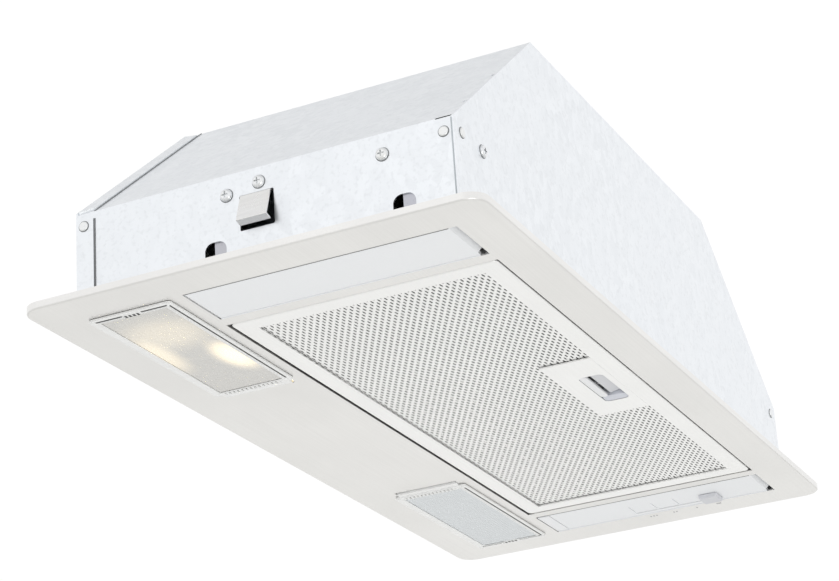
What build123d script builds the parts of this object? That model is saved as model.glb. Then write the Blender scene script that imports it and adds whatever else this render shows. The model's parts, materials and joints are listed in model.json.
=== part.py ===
from build123d import *
import math
import os

# A built-in range hood that hangs in a cut-out in the bottom of a wall cabinet.
# Origin: centre of the trim plate's underside. +X along the hood to the control strip,
# +Y to the wall, +Z up. Millimetres.

# ---- driving dimensions ----
plate_length = 530.0
plate_depth = 250.0
plate_corner = 11.0
plate_sheet = 1.0
rim_height = 4.0
rim_thickness = 1.2

housing_length = 490.0
housing_front = -106.0
housing_rear = 103.0
knee_height = 55.0
housing_height = 145.0
slope_run = 111.0
wall = 1.0
fit_gap = 0.1

filter_length = 385.0
filter_front = -100.8
filter_rear = 46.6
filter_thickness = 9.0
filter_skin = 0.9
filter_border = 10.8
filter_window_length = 387.4
filter_window_front = -102.0
filter_window_rear = 48.0
filter_pivot_y = 43.6
filter_pivot_z = 3.5
filter_pin_radius = 1.8

strip_centre_x = 221.0
strip_width = 38.0
strip_front = -101.5
strip_rear = 46.5
strip_face = 0.4
strip_seat = 1.05
strip_skin = 1.4
strip_gap = 0.7

lamp_inner_x = 103.0
lamp_outer_x = 234.5
lamp_front = 57.5
lamp_rear = 98.5
lens_pivot_x = 107.0
lens_pivot_z = 2.6
lens_pin_radius = 1.1
flange_step_x = 109.6
pan_height = 42.0
pan_sheet = 0.8
bulb_y = 78.0
bulb_z = 23.5

collar_radius = 59.5
collar_wall = 1.6
collar_top = 175.0
collar_flange_radius = 70.0
damper_axle_z = 152.0
damper_axle_radius = 1.5
damper_radius = 56.9

fan_axis_z = 66.0
wheel_radius = 42.0
wheel_half_width = 44.0
wheel_blades = 36
scroll_half_width = 48.0
scroll_wall = 1.6
inlet_radius = 30.0
shaft_radius = 4.0
motor_radius = 34.0
motor_near = -60.0
motor_far = -108.0

clip_window_front = -9.0
clip_window_rear = 10.0
clip_window_low = 23.2
clip_window_high = 42.0
slot_width = 12.0
slot_height = 20.0
slot_places = (24.0, -78.0)
screw_places = ((17.0, 44.0), (-1.0, 47.0), (-68.0, 44.0))
front_rivet_y = -100.5
rear_rivet_y = 98.5
side_rivet_z = 47.5
front_rivet_x = 236.0
front_screw_x = -212.0
front_rivet_z = 49.0
running_gap = 0.05

# ---- values that follow ----
half_length = housing_length / 2
slope_rise = housing_height - knee_height
slope_angle = math.atan2(slope_rise, slope_run)
slope_length = math.hypot(slope_rise, slope_run)
top_half = half_length - slope_run
shell_front = housing_front + wall
shell_rear = housing_rear - wall
filter_centre_y = (filter_front + filter_rear) / 2
filter_depth = filter_rear - filter_front
strip_centre_y = (strip_front + strip_rear) / 2
strip_length = strip_rear - strip_front
lamp_centre_x = (lamp_inner_x + lamp_outer_x) / 2
lamp_centre_y = (lamp_front + lamp_rear) / 2
latch_x = 3.0
cup_x = 3.7
cup_y = -79.0
cup_length = 46.0
cup_width = 16.0
sides = {"left": -1, "right": 1}

os.makedirs("parts", exist_ok=True)


def keep(piece, name):
    piece.label = name
    export_step(piece, f"parts/{name}.step")


def hexagon(grow):
    """Corner points of the housing's end profile, moved out by grow, from the trim plate up."""
    lift = grow / math.cos(slope_angle)
    slope = math.tan(slope_angle)
    knee = knee_height - grow * slope + lift
    top = top_half + (lift - grow) / slope
    return [
        (-half_length - grow, plate_sheet),
        (-half_length - grow, knee),
        (-top, housing_height + grow),
        (top, housing_height + grow),
        (half_length + grow, knee),
        (half_length + grow, plate_sheet),
    ]


# ---- trim plate: stainless sheet with an upturned rim and five windows ----
with BuildPart() as trim_plate:
    with BuildSketch():
        RectangleRounded(plate_length, plate_depth, plate_corner)
    extrude(amount=rim_height)
    with BuildSketch(Plane.XY.offset(plate_sheet)):
        RectangleRounded(
            plate_length - 2 * rim_thickness, plate_depth - 2 * rim_thickness, plate_corner - rim_thickness
        )
    extrude(amount=rim_height, mode=Mode.SUBTRACT)
    outer_bottom = trim_plate.faces().sort_by(Axis.Z)[0].outer_wire().edges()
    fillet(outer_bottom, radius=0.9)
    with BuildSketch():
        with Locations((0, (filter_window_front + filter_window_rear) / 2)):
            Rectangle(filter_window_length, filter_window_rear - filter_window_front)
        for side in sides.values():
            with Locations((side * strip_centre_x, strip_centre_y)):
                Rectangle(strip_width, strip_length)
            with Locations((side * lamp_centre_x, lamp_centre_y)):
                Rectangle(lamp_outer_x - lamp_inner_x, lamp_rear - lamp_front)
    extrude(amount=plate_sheet, mode=Mode.SUBTRACT)
keep(trim_plate.part, "trim_plate")

# ---- plate lugs: four upright tabs that locate the housing on the plate ----
lug_width = 8.0
lug_height = 23.0
with BuildPart() as plate_lugs:
    for side in sides.values():
        for place in slot_places:
            with BuildSketch(Plane.XY.offset(plate_sheet)):
                with Locations((side * (half_length - 1.5 * wall - fit_gap), place - 3)):
                    Rectangle(wall, lug_width)
            extrude(amount=lug_height)
keep(plate_lugs.part, "plate_lugs")

# ---- housing shell: one bent galvanised sheet, both ends, both slopes and the top ----
notch_steps = (0.18, 0.53)
with BuildPart() as housing_shell:
    with BuildSketch(Plane.XZ.offset(-shell_rear)):
        with BuildLine():
            Polyline(*hexagon(0), close=True)
        make_face()
        with BuildLine():
            Polyline(*hexagon(-wall), close=True)
        make_face(mode=Mode.SUBTRACT)
    extrude(amount=shell_rear - shell_front)
    with BuildSketch(Plane.YZ.offset(-half_length - wall)):
        with Locations(
            ((clip_window_front + clip_window_rear) / 2, (clip_window_low + clip_window_high) / 2)
        ):
            RectangleRounded(clip_window_rear - clip_window_front, clip_window_high - clip_window_low, 0.8)
        for place in slot_places:
            with Locations((place, plate_sheet + slot_height / 2)):
                Rectangle(slot_width, slot_height)
        with Locations(*screw_places):
            Circle(2.1)
        with Locations((front_rivet_y, side_rivet_z), (rear_rivet_y, side_rivet_z)):
            Circle(1.65)
        with Locations((shell_front + 4, knee_height + 0.2)):
            Rectangle(9, 1.0)
    extrude(amount=2 * (half_length + wall), mode=Mode.SUBTRACT)
    slot_tops = housing_shell.edges().filter_by(Axis.X).group_by(Axis.Z)
    arches = [e for group in slot_tops for e in group if abs(e.center().Z - plate_sheet - slot_height) < 0.1]
    fillet(arches, radius=4.5)
    with BuildSketch(Plane.XY.offset(housing_height - 2 * wall)):
        Circle(58)
        with GridLocations(106, 122, 2, 2):
            Circle(2.1)
        with PolarLocations(65, 4, start_angle=45):
            Circle(1.6)
    extrude(amount=3 * wall, mode=Mode.SUBTRACT)
    with BuildSketch(Plane.XZ.offset(-shell_front - 1.6)):
        for side in sides.values():
            for step in notch_steps:
                with Locations((side * (half_length - step * slope_run), knee_height + step * slope_rise)):
                    Circle(1.5)
    extrude(amount=3, mode=Mode.SUBTRACT)
keep(housing_shell.part, "housing_shell")

# ---- front panel: flat sheet with three tabs folded inside the shell ----
tab_depth = 9.0
with BuildPart() as front_panel:
    with BuildSketch(Plane.XZ.offset(-shell_front)):
        with BuildLine():
            Polyline(*hexagon(0), close=True)
        make_face()
        with Locations((front_rivet_x, front_rivet_z), (-front_rivet_x, front_rivet_z), (front_screw_x, front_rivet_z)):
            Circle(1.65, mode=Mode.SUBTRACT)
    extrude(amount=wall)
    for side in sides.values():
        with BuildSketch(Plane.XY.offset(8)):
            with Locations((side * (half_length - 1.5 * wall - fit_gap), shell_front + tab_depth / 2)):
                Rectangle(wall, tab_depth)
        extrude(amount=42)
    with BuildSketch(Plane.XY.offset(housing_height - 2 * wall - fit_gap)):
        with Locations((0, shell_front + tab_depth / 2)):
            Rectangle(240, tab_depth)
    extrude(amount=wall)
    with BuildSketch(Plane.YZ.offset(-half_length)):
        with Locations((front_rivet_y, side_rivet_z)):
            Circle(1.65)
    extrude(amount=2 * half_length, mode=Mode.SUBTRACT)
keep(front_panel.part, "front_panel")

# ---- rear panel: flat sheet whose tabs fold forward over the outside of the shell ----
gland_x = 150.0
gland_z = 72.0
mitre = 5.0
with BuildPart() as rear_panel:
    with BuildSketch(Plane.XZ.offset(-housing_rear)):
        with BuildLine():
            Polyline(*hexagon(wall), close=True)
        make_face()
        with Locations((gland_x, gland_z)):
            Circle(8.2, mode=Mode.SUBTRACT)
    extrude(amount=wall)
    for side in sides.values():
        outside = Plane(
            origin=(side * half_length, shell_rear, 0),
            x_dir=(0, -1, 0),
            z_dir=(side, 0, 0),
        )
        with BuildSketch(outside):
            with BuildLine():
                tab = [(0, 3), (tab_depth, 5), (tab_depth, knee_height - 4), (0, knee_height - 0.5)]
                Polyline(*[(along, side * -up) for along, up in tab], close=True)
            make_face()
        extrude(amount=wall)
        slope = Plane(
            origin=(side * half_length, shell_rear, knee_height),
            x_dir=(0, -1, 0),
            z_dir=(side * slope_rise, 0, slope_run),
        )
        with BuildSketch(slope):
            with BuildLine():
                tab = [(0, 1), (tab_depth, mitre), (tab_depth, slope_length - mitre), (0, slope_length - 1)]
                Polyline(*[(along, side * -up) for along, up in tab], close=True)
            make_face()
        extrude(amount=wall)
    with BuildSketch(Plane.XY.offset(housing_height)):
        with BuildLine():
            Polyline(
                (-top_half + 2, shell_rear),
                (-top_half + 2 + mitre, shell_rear - tab_depth),
                (top_half - 2 - mitre, shell_rear - tab_depth),
                (top_half - 2, shell_rear),
                close=True,
            )
        make_face()
    extrude(amount=wall)
    with BuildSketch(Plane.YZ.offset(-half_length - 2 * wall)):
        with Locations((rear_rivet_y, side_rivet_z)):
            Circle(1.65)
    extrude(amount=2 * (half_length + 2 * wall), mode=Mode.SUBTRACT)
keep(rear_panel.part, "rear_panel")


def domed(plane, head_radius, head_height, shank_radius, shank_length, recess=0):
    with BuildPart() as made:
        with BuildSketch(plane.offset(-shank_length)):
            Circle(shank_radius)
        extrude(amount=shank_length)
        with BuildSketch(plane):
            Circle(head_radius)
        extrude(amount=head_height)
        crown = made.faces().sort_by(Axis(plane.origin, plane.z_dir))[-1]
        fillet(crown.edges(), radius=head_height * 0.8)
        if recess:
            with BuildSketch(plane.offset(head_height)):
                Rectangle(recess, recess / 4)
                Rectangle(recess / 4, recess)
            extrude(amount=-head_height * 0.6, mode=Mode.SUBTRACT)
    return made.part


def side_plane(side, reach, y, z):
    return Plane(origin=(side * reach, y, z), x_dir=(0, 1, 0), z_dir=(side, 0, 0))


def front_plane(x, z):
    return Plane(origin=(x, housing_front, z), x_dir=(1, 0, 0), z_dir=(0, -1, 0))


# ---- rivets and screws of the housing ----
with BuildPart() as panel_rivets:
    for side in sides.values():
        add(domed(side_plane(side, half_length, front_rivet_y, side_rivet_z), 2.6, 0.9, 1.6, 3.0))
        add(domed(side_plane(side, half_length + wall, rear_rivet_y, side_rivet_z), 2.6, 0.9, 1.6, 3.0))
        add(domed(front_plane(side * front_rivet_x, front_rivet_z), 2.6, 0.9, 1.6, 2.5))
keep(panel_rivets.part, "panel_rivets")

with BuildPart() as pan_screws:
    for side in sides.values():
        for y, z in screw_places:
            add(domed(side_plane(side, half_length, y, z), 3.3, 2.1, 1.95, 6.0, recess=3.4))
    add(domed(front_plane(front_screw_x, front_rivet_z), 3.3, 1.6, 1.6, 4.0, recess=3.4))
keep(pan_screws.part, "pan_screws")

# ---- spring clips: a foot screwed inside the wall and the leaf that springs out of the window ----
leaf_sheet = 0.8
leaf_pivot = (-half_length + 1.5, clip_window_high - 0.4)
leaf_line = [
    leaf_pivot,
    (-half_length - 1.6, 40.6),
    (-half_length - 6.8, 26.2),
    (-half_length - 3.0, 25.0),
]
for hand, side in sides.items():
    with BuildPart() as clip_foot:
        with BuildSketch(Plane.YZ.offset(side * (half_length - wall - fit_gap))):
            with Locations((6, 47.2)):
                Rectangle(38, 9)
            with Locations(*screw_places[:2]):
                Circle(2.0, mode=Mode.SUBTRACT)
        extrude(amount=-side * wall)
    keep(clip_foot.part, f"clip_foot_{hand}")

    with BuildPart() as spring_clip:
        with BuildSketch(Plane.XZ.offset(8)):
            with BuildLine():
                line = Polyline(*[(-side * x, z) for x, z in leaf_line])
                offset(line, amount=leaf_sheet / 2, side=Side.BOTH)
            make_face()
        extrude(amount=-16.5)
    keep(spring_clip.part, f"spring_clip_{hand}")

# ---- blank strip and control strip: shallow trays seen through the end windows ----
ramp_width = 33.5
slot_x = 234.5
slot_opening = 1.3
slot_rear = -10.0
knob_y = -62.5
knob_travel = 44.1
slot_front = knob_y - 6.0
button_front = 38.3
button_rear = 45.9
button_left = 204.0
button_right = 238.0
skirt = 1.2


def strip_tray(side):
    """A flange seated on the plate, and a face standing in the window with a ramp at its front end."""
    flange_width = strip_width + 2 * skirt + 0.6
    ramp_start = strip_front + 4.6
    face_rear = strip_rear - strip_gap
    face_width = strip_width - 2 * strip_gap
    with BuildPart() as tray:
        with BuildSketch(Plane.XY.offset(strip_seat)):
            with Locations((side * strip_centre_x, (ramp_start + strip_rear + 2.1) / 2)):
                Rectangle(flange_width, strip_rear + 2.1 - ramp_start)
        extrude(amount=strip_skin)
        with BuildSketch(Plane.XY.offset(strip_face)):
            with Locations((side * strip_centre_x, (ramp_start + face_rear) / 2)):
                Rectangle(face_width, face_rear - ramp_start)
        extrude(amount=strip_seat - strip_face)
        with BuildSketch(Plane.YZ.offset(side * strip_centre_x - face_width / 2)):
            with BuildLine():
                Polyline(
                    (ramp_start, strip_face),
                    (strip_front + 0.8, strip_face + 3.4),
                    (strip_front + 0.8, strip_face + 4.6),
                    (ramp_start, strip_seat + strip_skin),
                    close=True,
                )
            make_face()
        extrude(amount=ramp_width)
    return tray.part


keep(strip_tray(-1), "blank_strip")

with BuildPart() as control_strip:
    add(strip_tray(1))
    with BuildSketch(Plane.XY.offset(strip_face)):
        with Locations((slot_x, (slot_front + slot_rear) / 2)):
            Rectangle(slot_opening, slot_rear - slot_front)
        with Locations(((button_left + button_right) / 2, (button_front + button_rear) / 2)):
            Rectangle(button_right - button_left + 0.8, button_rear - button_front + 0.6)
    extrude(amount=strip_seat + strip_skin - strip_face, mode=Mode.SUBTRACT)
    with BuildSketch(Plane.XY.offset(strip_face)):
        for stop in (1, 2, 3):
            with Locations((slot_x - 8.6, knob_y + stop * knob_travel / 3 + 7.5)):
                Rectangle(13, 0.7)
    extrude(amount=0.5, mode=Mode.SUBTRACT)
keep(control_strip.part, "control_strip")

knob_x = slot_x - 5.5
with BuildPart() as fan_slider:
    with BuildSketch(Plane.XY.offset(strip_face - 0.3)):
        with Locations((knob_x, knob_y)):
            Rectangle(14, 12)
    extrude(amount=-2.3, taper=12)
    with BuildSketch(Plane.XY.offset(strip_face - 0.3)):
        with Locations((slot_x, knob_y)):
            Rectangle(0.9, 5)
    extrude(amount=6)
keep(fan_slider.part, "fan_slider")

with BuildPart() as light_button:
    with BuildSketch(Plane.XY.offset(strip_face - 0.5)):
        with Locations(((button_left + button_right) / 2, (button_front + button_rear) / 2)):
            Rectangle(button_right - button_left, button_rear - button_front)
    extrude(amount=7.5)
    fillet(light_button.faces().sort_by(Axis.Z)[0].edges(), radius=0.4)
    with BuildSketch(Plane.XY.offset(strip_seat + strip_skin + 0.2)):
        with Locations(((button_left + button_right) / 2, (button_front + button_rear) / 2 - 0.2)):
            Rectangle(button_right - button_left + 2, button_rear - button_front + 1.6)
    extrude(amount=0.8)
keep(light_button.part, "light_button")

# ---- switches and the carrier plate they hang from ----
carrier_z = 26.0
with BuildPart() as fan_switch:
    with BuildSketch(Plane.XY.offset(strip_seat + strip_skin)):
        with Locations((slot_x - 6, -40)):
            Rectangle(18, 66)
    extrude(amount=carrier_z - strip_seat - strip_skin)
    with BuildSketch(Plane.XY.offset(strip_seat + strip_skin)):
        with Locations((slot_x, knob_y + knob_travel / 2)):
            Rectangle(1.9, knob_travel + 6)
    extrude(amount=6, mode=Mode.SUBTRACT)
keep(fan_switch.part, "fan_switch")

with BuildPart() as light_switch:
    with BuildSketch(Plane.XY.offset(15)):
        with Locations((221, 42)):
            Rectangle(20, 10)
    extrude(amount=carrier_z - 15)
    with BuildSketch(Plane.XY.offset(11)):
        with Locations((221, 42)):
            Rectangle(8, 5)
    extrude(amount=4)
keep(light_switch.part, "light_switch")

with BuildPart() as switch_carrier:
    with BuildSketch(Plane.XY.offset(carrier_z)):
        with Locations((222, -13)):
            Rectangle(32, 130)
        for y in (-58, 36):
            with Locations((239, y)):
                Rectangle(9.6, 28)
    extrude(amount=wall)
    with BuildSketch(Plane.XY.offset(carrier_z)):
        for y in (-58, 36):
            with Locations((half_length - 1.5 * wall - fit_gap, y)):
                Rectangle(wall, 28)
    extrude(amount=14)
    with BuildSketch(Plane.YZ.offset(half_length - 3)):
        with Locations(*screw_places):
            Circle(2.1)
    extrude(amount=4, mode=Mode.SUBTRACT)
keep(switch_carrier.part, "switch_carrier")

# ---- lamps: pan, holder, bulb and hinged lens on each side of the rear margin ----
pan_inner_x = 101.0
pan_outer_x = 237.5
pan_front = 55.0
pan_rear = 100.9
for hand, side in sides.items():
    pan_x = side * (pan_inner_x + pan_outer_x) / 2
    pan_y = (pan_front + pan_rear) / 2
    with BuildPart() as lamp_pan:
        with BuildSketch(Plane.XY.offset(plate_sheet)):
            with Locations((pan_x, pan_y)):
                Rectangle(pan_outer_x - pan_inner_x, pan_rear - pan_front)
        extrude(amount=pan_height - plate_sheet)
        fillet(lamp_pan.edges().filter_by(Axis.Z), radius=4)
        fillet(lamp_pan.faces().sort_by(Axis.Z)[-1].edges(), radius=4)
        offset(amount=-pan_sheet, openings=lamp_pan.faces().sort_by(Axis.Z)[0])
        with BuildSketch(Plane.XZ.offset(-pan_rear - 1)):
            with Locations((side * lens_pivot_x, lens_pivot_z)):
                Circle(lens_pin_radius + running_gap)
        extrude(amount=pan_rear - pan_front + 2, mode=Mode.SUBTRACT)
        with BuildSketch(Plane.YZ.offset(side * (pan_outer_x + 1))):
            with Locations((bulb_y, bulb_z)):
                Circle(5)
        extrude(amount=-side * 3, mode=Mode.SUBTRACT)
    keep(lamp_pan.part, f"lamp_pan_{hand}")

    along = Plane(origin=(side * (pan_outer_x - pan_sheet), bulb_y, bulb_z), x_dir=(0, 1, 0), z_dir=(-side, 0, 0))
    with BuildPart() as lamp_holder:
        with BuildSketch(along):
            Circle(12)
        extrude(amount=26)
        with BuildSketch(along.offset(26)):
            Circle(7.2)
        extrude(amount=-23, mode=Mode.SUBTRACT)
    keep(lamp_holder.part, f"lamp_holder_{hand}")

    with BuildPart() as bulb:
        profile = Plane(origin=along.origin, x_dir=(-side, 0, 0), z_dir=(0, 1, 0))
        with BuildSketch(profile):
            with BuildLine():
                start = Line((4, 0), (4, 6.9))
                screw = Line(start @ 1, (27, 6.9))
                neck = Line(screw @ 1, (34, 12.5))
                tube = Line(neck @ 1, (84, 12.5))
                tip = RadiusArc(tube @ 1, (96.5, 0), 12.5)
                Line(tip @ 1, start @ 0)
            make_face()
        revolve(axis=Axis(along.origin, (-side, 0, 0)))
    keep(bulb.part, f"bulb_{hand}")

    with BuildPart() as lamp_lens:
        body_low = -0.2
        with BuildSketch(Plane.XY.offset(body_low)):
            with Locations((side * (104.4 + 233.8) / 2, lamp_centre_y)):
                Rectangle(233.8 - 104.4, lamp_rear - lamp_front - 1)
        extrude(amount=2.6)
        with BuildSketch(Plane.XY.offset(-1.3)):
            with Locations((side * (flange_step_x + 238.5) / 2, lamp_centre_y)):
                RectangleRounded(238.5 - flange_step_x, 47.4, 2)
            with Locations((side * (106.0 + flange_step_x + 3) / 2, lamp_centre_y)):
                Rectangle(flange_step_x + 3 - 106.0, lamp_rear - lamp_front - 1)
        extrude(amount=1.1)
        for end in (-1, 1):
            pin_plane = Plane(
                origin=(side * lens_pivot_x, lamp_centre_y + end * 19, lens_pivot_z),
                x_dir=(1, 0, 0),
                z_dir=(0, end, 0),
            )
            with BuildSketch(pin_plane):
                Circle(lens_pin_radius)
            extrude(amount=4.1)
            with BuildSketch(pin_plane.offset(-1)):
                Circle(2.0)
            extrude(amount=2.2)
    keep(lamp_lens.part, f"lamp_lens_{hand}")

# ---- grease filter: rolled frame, three mesh layers, latch ----
with BuildPart() as filter_frame:
    with BuildSketch():
        with Locations((0, filter_centre_y)):
            RectangleRounded(filter_length, filter_depth, 3)
    extrude(amount=filter_thickness)
    fillet(filter_frame.faces().sort_by(Axis.Z)[0].edges(), radius=0.8)
    with BuildSketch(Plane.XY.offset(filter_skin)):
        with Locations((0, filter_centre_y)):
            Rectangle(filter_length - 2 * filter_skin, filter_depth - 2 * filter_skin)
    extrude(amount=filter_thickness - 2 * filter_skin, mode=Mode.SUBTRACT)
    with BuildSketch():
        with Locations((0, filter_centre_y)):
            Rectangle(filter_length - 2 * filter_border, filter_depth - 2 * filter_border)
    extrude(amount=filter_thickness, mode=Mode.SUBTRACT)
    with BuildSketch(Plane.XZ.offset(-filter_front - 2)):
        with Locations((latch_x, 3.8)):
            Rectangle(11.2, 2.4)
    extrude(amount=4, mode=Mode.SUBTRACT)
    for side in sides.values():
        with BuildSketch(Plane(origin=(side * (filter_length / 2 - 0.4), filter_pivot_y, filter_pivot_z), z_dir=(side, 0, 0))):
            Circle(filter_pin_radius)
        extrude(amount=3.8)
keep(filter_frame.part, "filter_frame")

mesh_layers = {"filter_mesh_face": (1.1, 0.5), "filter_mesh_core": (4.0, 0.8), "filter_mesh_back": (7.4, 0.5)}
for name, (low, thick) in mesh_layers.items():
    with BuildPart() as layer:
        with BuildSketch(Plane.XY.offset(low)):
            with Locations((0, filter_centre_y)):
                Rectangle(filter_length - 2.4, filter_depth - 2.4)
            with Locations((cup_x, cup_y)):
                Rectangle(cup_length + 2, cup_width + 2, mode=Mode.SUBTRACT)
            with Locations((latch_x, (filter_front + cup_y) / 2)):
                Rectangle(14, cup_y - filter_front, mode=Mode.SUBTRACT)
        extrude(amount=thick)
    keep(layer.part, name)

cup_top = 6.6
latch_plate_x = 0.8
latch_plate_length = 89.0
plate_back = -60.0
plate_front = filter_front + filter_border + 0.1
with BuildPart() as latch_plate:
    with BuildSketch():
        with Locations((latch_plate_x, (plate_front + plate_back) / 2)):
            Rectangle(latch_plate_length, plate_back - plate_front)
    extrude(amount=filter_skin)
    with BuildSketch(Plane.XY.offset(filter_skin)):
        with Locations((cup_x, cup_y)):
            Rectangle(cup_length, cup_width)
    extrude(amount=cup_top - filter_skin)
    with BuildSketch():
        with Locations((cup_x, cup_y)):
            RectangleRounded(cup_length - 1.6, cup_width - 1.6, 1.5)
    extrude(amount=cup_top - 0.8, mode=Mode.SUBTRACT)
    with BuildSketch(Plane.XZ.offset(-cup_y + cup_width / 2 - 2)):
        with Locations((latch_x, 3.8)):
            Rectangle(11.2, 2.4)
    extrude(amount=4, mode=Mode.SUBTRACT)
keep(latch_plate.part, "latch_plate")

with BuildPart() as latch_block:
    with BuildSketch(Plane.XY.offset(1.6)):
        with Locations((17.8, cup_y)):
            Rectangle(14.6, cup_width - 4)
    extrude(amount=cup_top - 2.4)
    fillet(latch_block.faces().sort_by(Axis.Z)[0].edges(), radius=1.0)
keep(latch_block.part, "latch_block")

lever_front = -85.6
lever_rear = -76.4
latch_travel = 3.2
with BuildPart() as latch_lever:
    with BuildSketch(Plane.XY.offset(1.4)):
        with Locations((-3.7, (lever_front + lever_rear) / 2)):
            Rectangle(26.6, lever_rear - lever_front)
    extrude(amount=3.6)
    chamfer(latch_lever.faces().sort_by(Axis.Z)[0].edges().sort_by(Axis.Y)[0], length=1.6)
    with BuildSketch(Plane.XY.offset(3.0)):
        with Locations((latch_x, (lever_front - 104.4) / 2 + 1)):
            Rectangle(10, lever_front + 104.4 + 2)
    extrude(amount=1.6)
keep(latch_lever.part, "latch_lever")

with BuildPart() as latch_spring:
    with BuildSketch(Plane.XZ.offset(-lever_rear)):
        with Locations((latch_x, 3.4)):
            Circle(1.6)
            Circle(1.0, mode=Mode.SUBTRACT)
    extrude(amount=-(cup_y + cup_width / 2 - 0.8 - lever_rear))
keep(latch_spring.part, "latch_spring")

with BuildPart() as filter_catch:
    with BuildSketch(Plane.XY.offset(plate_sheet)):
        with Locations((latch_x, -103.45)):
            Rectangle(24, 2.6)
    extrude(amount=1.8)
keep(filter_catch.part, "filter_catch")

for hand, side in sides.items():
    bracket_x = side * (filter_window_length / 2 + 0.8)
    with BuildPart() as hinge_bracket:
        with BuildSketch(Plane.XY.offset(plate_sheet)):
            with Locations((bracket_x + side * 2.6, filter_pivot_y)):
                Rectangle(6.4, 11)
        extrude(amount=wall)
        with BuildSketch(Plane.XY.offset(plate_sheet)):
            with Locations((bracket_x, filter_pivot_y)):
                Rectangle(1.2, 11)
        extrude(amount=8)
        with BuildSketch(Plane.YZ.offset(bracket_x - 3)):
            with Locations((filter_pivot_y, filter_pivot_z)):
                Circle(filter_pin_radius + running_gap)
        extrude(amount=4.5, mode=Mode.SUBTRACT)
    keep(hinge_bracket.part, f"filter_bracket_{hand}")

# ---- blower: two scroll halves, centrifugal wheel, motor ----
spiral_start = 45
spiral_end = -180
spiral_steps = 9
throat_half = 56.0


def scroll_outline(grow):
    """Spiral from the cut-off round to the far side, closed by the two throat walls."""
    turn = spiral_start - spiral_end
    points = []
    for step in range(spiral_steps + 1):
        share = step / spiral_steps
        radius = 45.5 + (throat_half - 45.5) * share + grow
        angle = math.radians(spiral_start - turn * share)
        points.append((radius * math.cos(angle), fan_axis_z + radius * math.sin(angle)))
    return points


scroll_top = housing_height - wall
for hand, side in sides.items():
    with BuildPart() as scroll:
        shells = ((scroll_wall, scroll_top, Mode.ADD), (0, scroll_top + 1, Mode.SUBTRACT))
        for grow, top, mode in shells:
            points = scroll_outline(grow)
            with BuildSketch(Plane.YZ):
                with BuildLine():
                    Spline(*points)
                    Polyline(points[-1], (-throat_half - grow, top), (throat_half + grow, top), points[0])
                make_face()
            extrude(amount=side * (scroll_half_width + grow), mode=mode)
        with BuildSketch(Plane.YZ.offset(side * (scroll_half_width - 1))):
            with Locations((0, fan_axis_z)):
                Circle(inlet_radius)
        extrude(amount=side * (scroll_wall + 2), mode=Mode.SUBTRACT)
        with BuildSketch(Plane.YZ.offset(side * (scroll_half_width + scroll_wall))):
            with Locations((0, fan_axis_z)):
                Circle(inlet_radius + 3)
                Circle(inlet_radius, mode=Mode.SUBTRACT)
        extrude(amount=side * 3)
        with BuildSketch(Plane.XY.offset(scroll_top - 2)):
            with Locations((side * 29, 0)):
                Rectangle(58, 2 * throat_half + 18)
            with Locations((side * scroll_half_width / 2, 0)):
                Rectangle(scroll_half_width, 2 * throat_half, mode=Mode.SUBTRACT)
            with Locations((side * 53, 61), (side * 53, -61)):
                Circle(1.9, mode=Mode.SUBTRACT)
        extrude(amount=2)
    keep(scroll.part, f"scroll_{hand}")

with BuildPart() as blower_screws:
    for x in (-53, 53):
        for y in (-61, 61):
            add(domed(Plane(origin=(x, y, housing_height)), 3.3, 2.0, 1.8, 6.0, recess=3.4))
keep(blower_screws.part, "blower_screws")

with BuildPart() as fan_wheel:
    hub_face = Plane.YZ.offset(-10)
    with BuildSketch(hub_face):
        with Locations((0, fan_axis_z)):
            Circle(9)
    extrude(amount=20)
    with BuildSketch(Plane.YZ.offset(-1)):
        with Locations((0, fan_axis_z)):
            Circle(wheel_radius)
    extrude(amount=2)
    for x in (-wheel_half_width, wheel_half_width - 1.5):
        with BuildSketch(Plane.YZ.offset(x)):
            with Locations((0, fan_axis_z)):
                Circle(wheel_radius + 0.6)
                Circle(wheel_radius - 8.5, mode=Mode.SUBTRACT)
        extrude(amount=1.5)
    with BuildSketch(Plane.YZ.offset(-wheel_half_width + 0.5)):
        with Locations((0, fan_axis_z)):
            with PolarLocations(wheel_radius - 4, wheel_blades):
                Rectangle(8, 0.9, rotation=35)
    extrude(amount=2 * wheel_half_width - 1)
    with BuildSketch(Plane.YZ.offset(-12)):
        with Locations((0, fan_axis_z)):
            Circle(shaft_radius)
    extrude(amount=24, mode=Mode.SUBTRACT)
keep(fan_wheel.part, "fan_wheel")

with BuildPart() as motor_shaft:
    with BuildSketch(Plane.YZ.offset(motor_far - 5)):
        with Locations((0, fan_axis_z)):
            Circle(shaft_radius)
    extrude(amount=13 - motor_far + 5)
    chamfer(motor_shaft.edges().filter_by(GeomType.CIRCLE), length=0.6)
keep(motor_shaft.part, "motor_shaft")

motor_wall = 2.0
with BuildPart() as motor_case:
    with BuildSketch(Plane.YZ.offset(motor_far)):
        with Locations((0, fan_axis_z)):
            Circle(motor_radius)
    extrude(amount=motor_near - motor_far)
    fillet(motor_case.edges().filter_by(GeomType.CIRCLE), radius=3)
    with BuildSketch(Plane.YZ.offset(motor_far + motor_wall)):
        with Locations((0, fan_axis_z)):
            Circle(motor_radius - motor_wall)
    extrude(amount=motor_near - motor_far - 2 * motor_wall, mode=Mode.SUBTRACT)
    with BuildSketch(Plane.YZ.offset(motor_far - 1)):
        with Locations((0, fan_axis_z)):
            Circle(9)
    extrude(amount=motor_near - motor_far + 2, mode=Mode.SUBTRACT)
keep(motor_case.part, "motor_case")

with BuildPart() as motor_bearings:
    for x in (motor_far, motor_near - 6):
        with BuildSketch(Plane.YZ.offset(x)):
            with Locations((0, fan_axis_z)):
                Circle(9)
                Circle(shaft_radius + running_gap, mode=Mode.SUBTRACT)
        extrude(amount=6)
keep(motor_bearings.part, "motor_bearings")

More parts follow.
